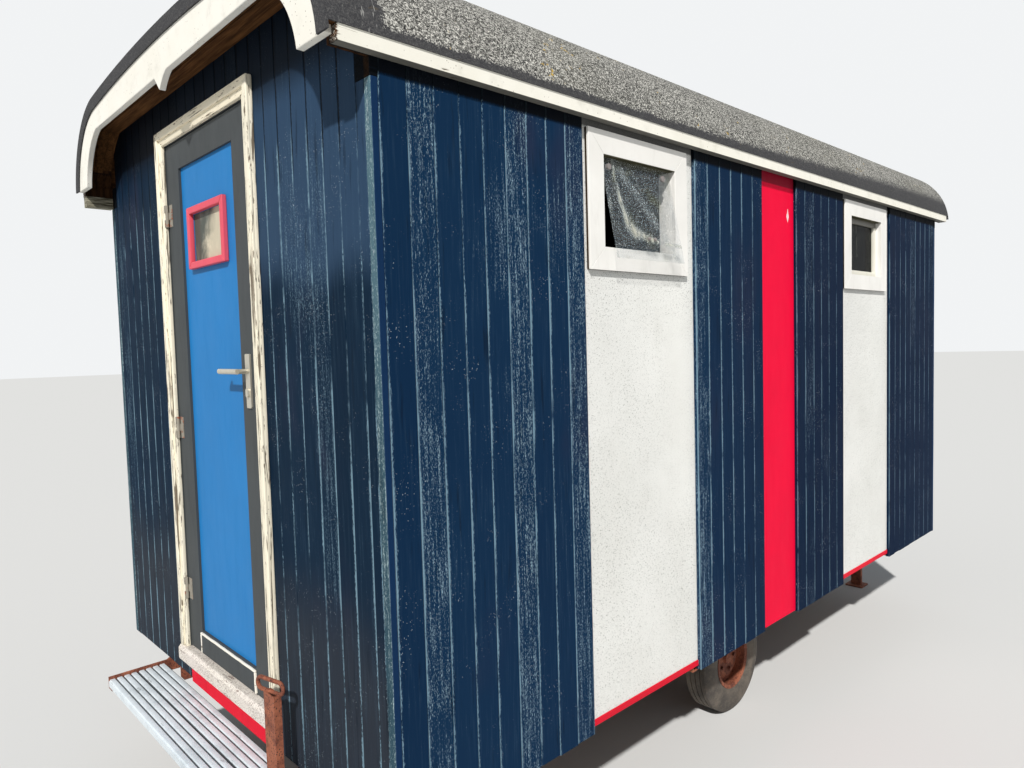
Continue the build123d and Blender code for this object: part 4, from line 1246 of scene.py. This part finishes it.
@dataclass
class Joinery:
    """Mitred trims and casings, and the small parts of the door."""

    finishes: Finishes
    gap: float = 0.00015
    opening: Pair = (0.2075, 0.153)
    casing_width: float = 0.078
    casing_front: float = 0.0165
    casing_skin: float = 0.004
    bare_depth: float = 0.008
    rim: float = 0.007
    lining_width: float = 0.012
    lining_back: float = 1.028
    tilted_knobs: tuple[tuple[float, float, float, float], ...] = (
        (-1.200, -1.083, 2.425, 0.011), (-0.887, -1.083, 2.425, 0.011),
        (-1.040, -1.131, 2.190, 0.006), (-1.006, -1.131, 2.190, 0.006))
    trim_fields: tuple[Triple, Triple] = ((0.055, 0.008, 0.0), (0.030, 0.0, 0.010))
    window_frame_width: float = 0.025
    bead_width: float = 0.009
    bead_wave: Pair = (30.0, 0.0012)

    def ring(self, work: Workpiece, centre: Pair, axes: tuple[int, int], outer: Pair, inner: Pair,
             start: float, end: float, round_by: float, sides: str = "lrtb") -> None:
        """Add a frame of mitred bars.

        Args:
            work: Takes the bars.
            centre: Middle of the frame along its two axes.
            axes: The row axis across it and the row axis it is pushed along.
            outer: Half-width and half-height outside.
            inner: Half-width and half-height inside.
            start: Where the bars start along the push.
            end: Where they end.
            round_by: Width of the rounding.
            sides: Which bars to make: l, r, t, b.
        """
        flat, deep = axes
        push = [0.0, 0.0, 0.0]
        push[deep] = end - start
        for side in sides:
            hand = -1 if side in "lb" else 1
            upright = side in "lr"
            ends = ((outer, -1), (inner, -1), (inner, 1), (outer, 1))
            corners = []
            for size, other in ends:
                shrink = math.copysign(self.gap, other)
                if upright:
                    across, up = hand * size[0], other * size[1] - shrink
                else:
                    across, up = other * size[0] - shrink, hand * size[1]
                point = [0.0, 0.0, centre[1] + up]
                point[flat], point[deep] = centre[0] + across, start
                corners.append(point)
            work.prism(corners, push, round_by, tone=0.3 + 0.4 * (ord(side) % 3) / 2)

    def windows(self) -> None:
        """Make the window casings and linings."""
        low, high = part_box("window_trims")
        level = (low[2] + high[2]) / 2
        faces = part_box("white_panels")[1][1]
        half, reach = opening = self.opening
        outer = (half + self.casing_width, reach + self.casing_width)
        inset = (outer[0] - self.rim, outer[1] - self.rim)
        hidden = (outer[0] - 0.0006, outer[1] - 0.0006)
        lined = (half + self.lining_width, reach + self.lining_width)
        strip = (half, reach - 0.0015)
        front, bare = faces + self.casing_front, faces + self.bare_depth
        skin, back, against = front - self.casing_skin, self.lining_back, faces - 0.0002
        work, edges, dark = Workpiece(), Workpiece(), Workpiece()
        layers = ((work, inset, opening, faces, bare, 0.0, "lrtb"),
                  (work, outer, opening, bare, front, 0.0012, "lrt"),
                  (work, outer, opening, skin, front, 0.0012, "b"),
                  (work, inset, opening, bare, skin, 0.0, "b"),
                  (work, lined, opening, back, against, 0.0008, "lr"),
                  # Painted shade: the top and bottom reveals, and a thin strip under the head, are dark
                  # where the casing shades them.
                  (dark, lined, opening, back, against, 0.0008, "tb"),
                  (edges, hidden, inset, faces, bare, 0.0, "lrt"),
                  (edges, hidden, inset, faces, skin, 0.0, "b"),
                  (dark, opening, strip, back + 0.002, front - 0.001, 0.0, "t"))
        for hand in (-1.0, 1.0):
            for place in (low[0] + outer[0], high[0] - outer[0]):
                for piece, outside, inside, near, far, round_by, sides in layers:
                    start, end = sorted((hand * near, hand * far))
                    self.ring(piece, (place, level), (0, 1), outside, inside, start, end, round_by, sides)
        work.finish("window_casings", self.finishes.casing, BODY, "white_paint", "window_trims")
        edges.finish("window_casing_edges", self.finishes.old_edge, BODY, "raw_timber")
        dark.finish("window_linings_painted_shade", self.finishes.lining, BODY, "white_paint")

    def pane_knobs(self) -> None:
        """Make the knobs that hold the tilted pane."""
        work = Workpiece()
        for x, y, z, radius in self.tilted_knobs:
            work.knob((x, y, z), radius, 0.012, 0.0015)
        work.finish("tilted_pane_knobs", self.finishes.knob, BODY, "grey_steel")

    def door_surround(self) -> None:
        """Make the moulded trim round the doorway: a wide field and a narrow raised one."""
        low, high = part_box("door_trim")
        centre, half = (low[1] + high[1]) / 2, (high[1] - low[1]) / 2
        bottom, top, gap = low[2], high[2], self.gap
        upright, across = Workpiece(), Workpiece()
        for width, ahead, depth in self.trim_fields:
            inner, start = half - width, low[0] + ahead
            stop = low[0] + depth if depth else high[0]
            rise = half - inner
            push = (stop - start, 0.0, 0.0)
            for hand in (-1.0, 1.0):
                outside, inside = centre + hand * half, centre + hand * inner
                outline = [(start, outside, bottom), (start, inside, bottom),
                           (start, inside, top - rise - gap), (start, outside, top - gap)]
                upright.prism(outline, push, 0.003, 3, tone=0.5)
            outline = [(start, centre - half + gap, top), (start, centre - inner, top - rise),
                       (start, centre + inner, top - rise), (start, centre + half - gap, top)]
            across.prism(outline, push, 0.003, 3, tone=0.5)
        upright.finish("door_trim_uprights", self.finishes.cream_upright, BODY, "white_paint", "door_trim")
        across.finish("door_trim_head", self.finishes.cream_across, BODY, "white_paint")

    def door_window(self) -> None:
        """Make the mitred frame of the door's window."""
        node = "door_window_frame"
        low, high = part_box(node)
        work = Workpiece()
        centre = ((low[1] + high[1]) / 2, (low[2] + high[2]) / 2)
        outer = ((high[1] - low[1]) / 2, (high[2] - low[2]) / 2)
        inner = (outer[0] - self.window_frame_width, outer[1] - self.window_frame_width)
        self.ring(work, centre, (1, 0), outer, inner, low[0], high[0], 0.003)
        work.finish(node + "_mitred", self.finishes.pink, DOOR, "pink_paint", node)

    def kick_board(self) -> None:
        """Make the door's lower board with its beads along the top and both sides."""
        node = "door_kick_board"
        low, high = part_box(node)
        work, beads = Workpiece(), Workpiece()
        work.block((low[0] + 0.002, low[1] + 0.004, low[2]), (high[0], high[1] - 0.004, high[2] - 0.004),
                   0.0015)
        work.finish(node + "_grey", self.finishes.door_grey, DOOR, "light_blue_paint", node)
        under, side = high[2] - self.bead_width, self.bead_width - 0.001
        bars = (((low[0], low[1], under), (high[0], high[1], high[2] - 0.0015), (1, 24)),
                (low, (high[0], low[1] + side, under), (2, 8)),
                ((low[0], high[1] - side, low[2]), (high[0], high[1], under), (2, 8)))
        for start, end, cuts in bars:
            beads.block(start, end, 0.002, cuts, None, wander(*self.bead_wave))
        beads.finish(node + "_beads", self.finishes.bead, DOOR, "white_paint")

    def build(self) -> None:
        """Make all the joinery."""
        self.windows()
        self.pane_knobs()
        self.door_surround()
        self.door_window()
        self.kick_board()


@dataclass
class Studio:
    """Camera, lamp, world and floor."""

    eye: Triple = (-3.1657, -2.6554, 1.8400)
    yaw: float = 46.549
    pitch: float = -3.2565
    roll: float = -1.591
    lens: float = 25.521
    sun_path: Triple = (0.58, 0.49, -0.65)
    sun_angle: float = 1.8
    sun: float = 3.9
    sky: float = 0.28
    backdrop: float = 0.95
    floor_radius: float = 70.0

    def camera(self) -> None:
        """Set the camera where the photo was taken."""
        yaw, pitch, roll = (math.radians(a) for a in (self.yaw, self.pitch, self.roll))
        ahead = Vector((math.cos(pitch) * math.cos(yaw), math.cos(pitch) * math.sin(yaw), math.sin(pitch)))
        right = ahead.cross(Vector((0.0, 0.0, 1.0))).normalized()
        up = right.cross(ahead)
        turned_right = right * math.cos(roll) + up * math.sin(roll)
        turned_up = up * math.cos(roll) - right * math.sin(roll)
        basis = Matrix((turned_right, turned_up, -ahead)).transposed()
        data = bpy.data.cameras.new("photo_camera")
        data.lens, data.sensor_width, data.clip_start, data.clip_end = self.lens, 36.0, 0.02, 200.0
        camera = bpy.data.objects.new("photo_camera", data)
        camera.matrix_world = Matrix.Translation(self.eye) @ basis.to_4x4()
        bpy.context.scene.collection.objects.link(camera)
        bpy.context.scene.camera = camera

    def key(self) -> None:
        """Add one sun-like lamp."""
        data = bpy.data.lights.new("key", "SUN")
        data.energy, data.angle, data.color = self.sun, math.radians(self.sun_angle), (1.0, 0.98, 0.95)
        lamp = bpy.data.objects.new("key", data)
        lamp.rotation_mode = "QUATERNION"
        lamp.rotation_quaternion = Vector(self.sun_path).to_track_quat("-Z", "Y")
        bpy.context.scene.collection.objects.link(lamp)

    def world(self) -> None:
        """Light with an even pale sky, behind a brighter backdrop for what is seen or mirrored."""
        world = bpy.data.worlds.new("pale_sky")
        bpy.context.scene.world = world
        g = Graph(world, "ShaderNodeOutputWorld")
        sky = g.node("ShaderNodeBackground", {}, {0: (0.88, 0.94, 1.0, 1.0), 1: self.sky})
        backdrop = g.node("ShaderNodeBackground", {}, {0: (0.93, 0.945, 0.955, 1.0), 1: self.backdrop})
        seen, through, mirrored = (g.node("ShaderNodeLightPath", out=f"Is {ray} Ray")
                                   for ray in ("Camera", "Transmission", "Glossy"))
        shown = seen.high(through).high(mirrored)
        g.feed(g.output.inputs[0], g.node("ShaderNodeMixShader", {}, {0: shown, 1: sky, 2: backdrop}))

    def floor(self) -> None:
        """Lay a wide pale floor that takes the shadow."""
        part = bmesh.new()
        bmesh.ops.create_circle(part, cap_ends=True, radius=self.floor_radius, segments=64)
        mesh = bpy.data.meshes.new("studio_floor")
        part.to_mesh(mesh)
        part.free()
        g = PaintGraph("studio_floor")
        g.set(base=(0.72, 0.72, 0.71, 1.0), roughness=0.95, specular=0.0)
        mesh.materials.append(g.material)
        ground = bpy.data.objects.new("studio_floor", mesh)
        ground.location.z = -0.0005
        bpy.context.scene.collection.objects.link(ground)

    def build(self) -> None:
        """Set up the view, the light and the floor."""
        self.camera()
        self.key()
        self.world()
        self.floor()
        bpy.context.scene.view_settings.view_transform = "Standard"


def main() -> None:
    """Build and dress the cabin, then set up the studio."""
    logging.basicConfig(level=logging.INFO, format="%(name)s %(message)s")
    # Without a seed, noise_vector starts from the clock and each run would differ.
    noise.seed_set(NOISE_SEED)
    finishes = Finishes()
    PlainNodes(finishes).build()
    Cladding(finishes).build()
    Joinery(finishes).build()
    Studio().build()


if __name__ == "__main__":
    main()
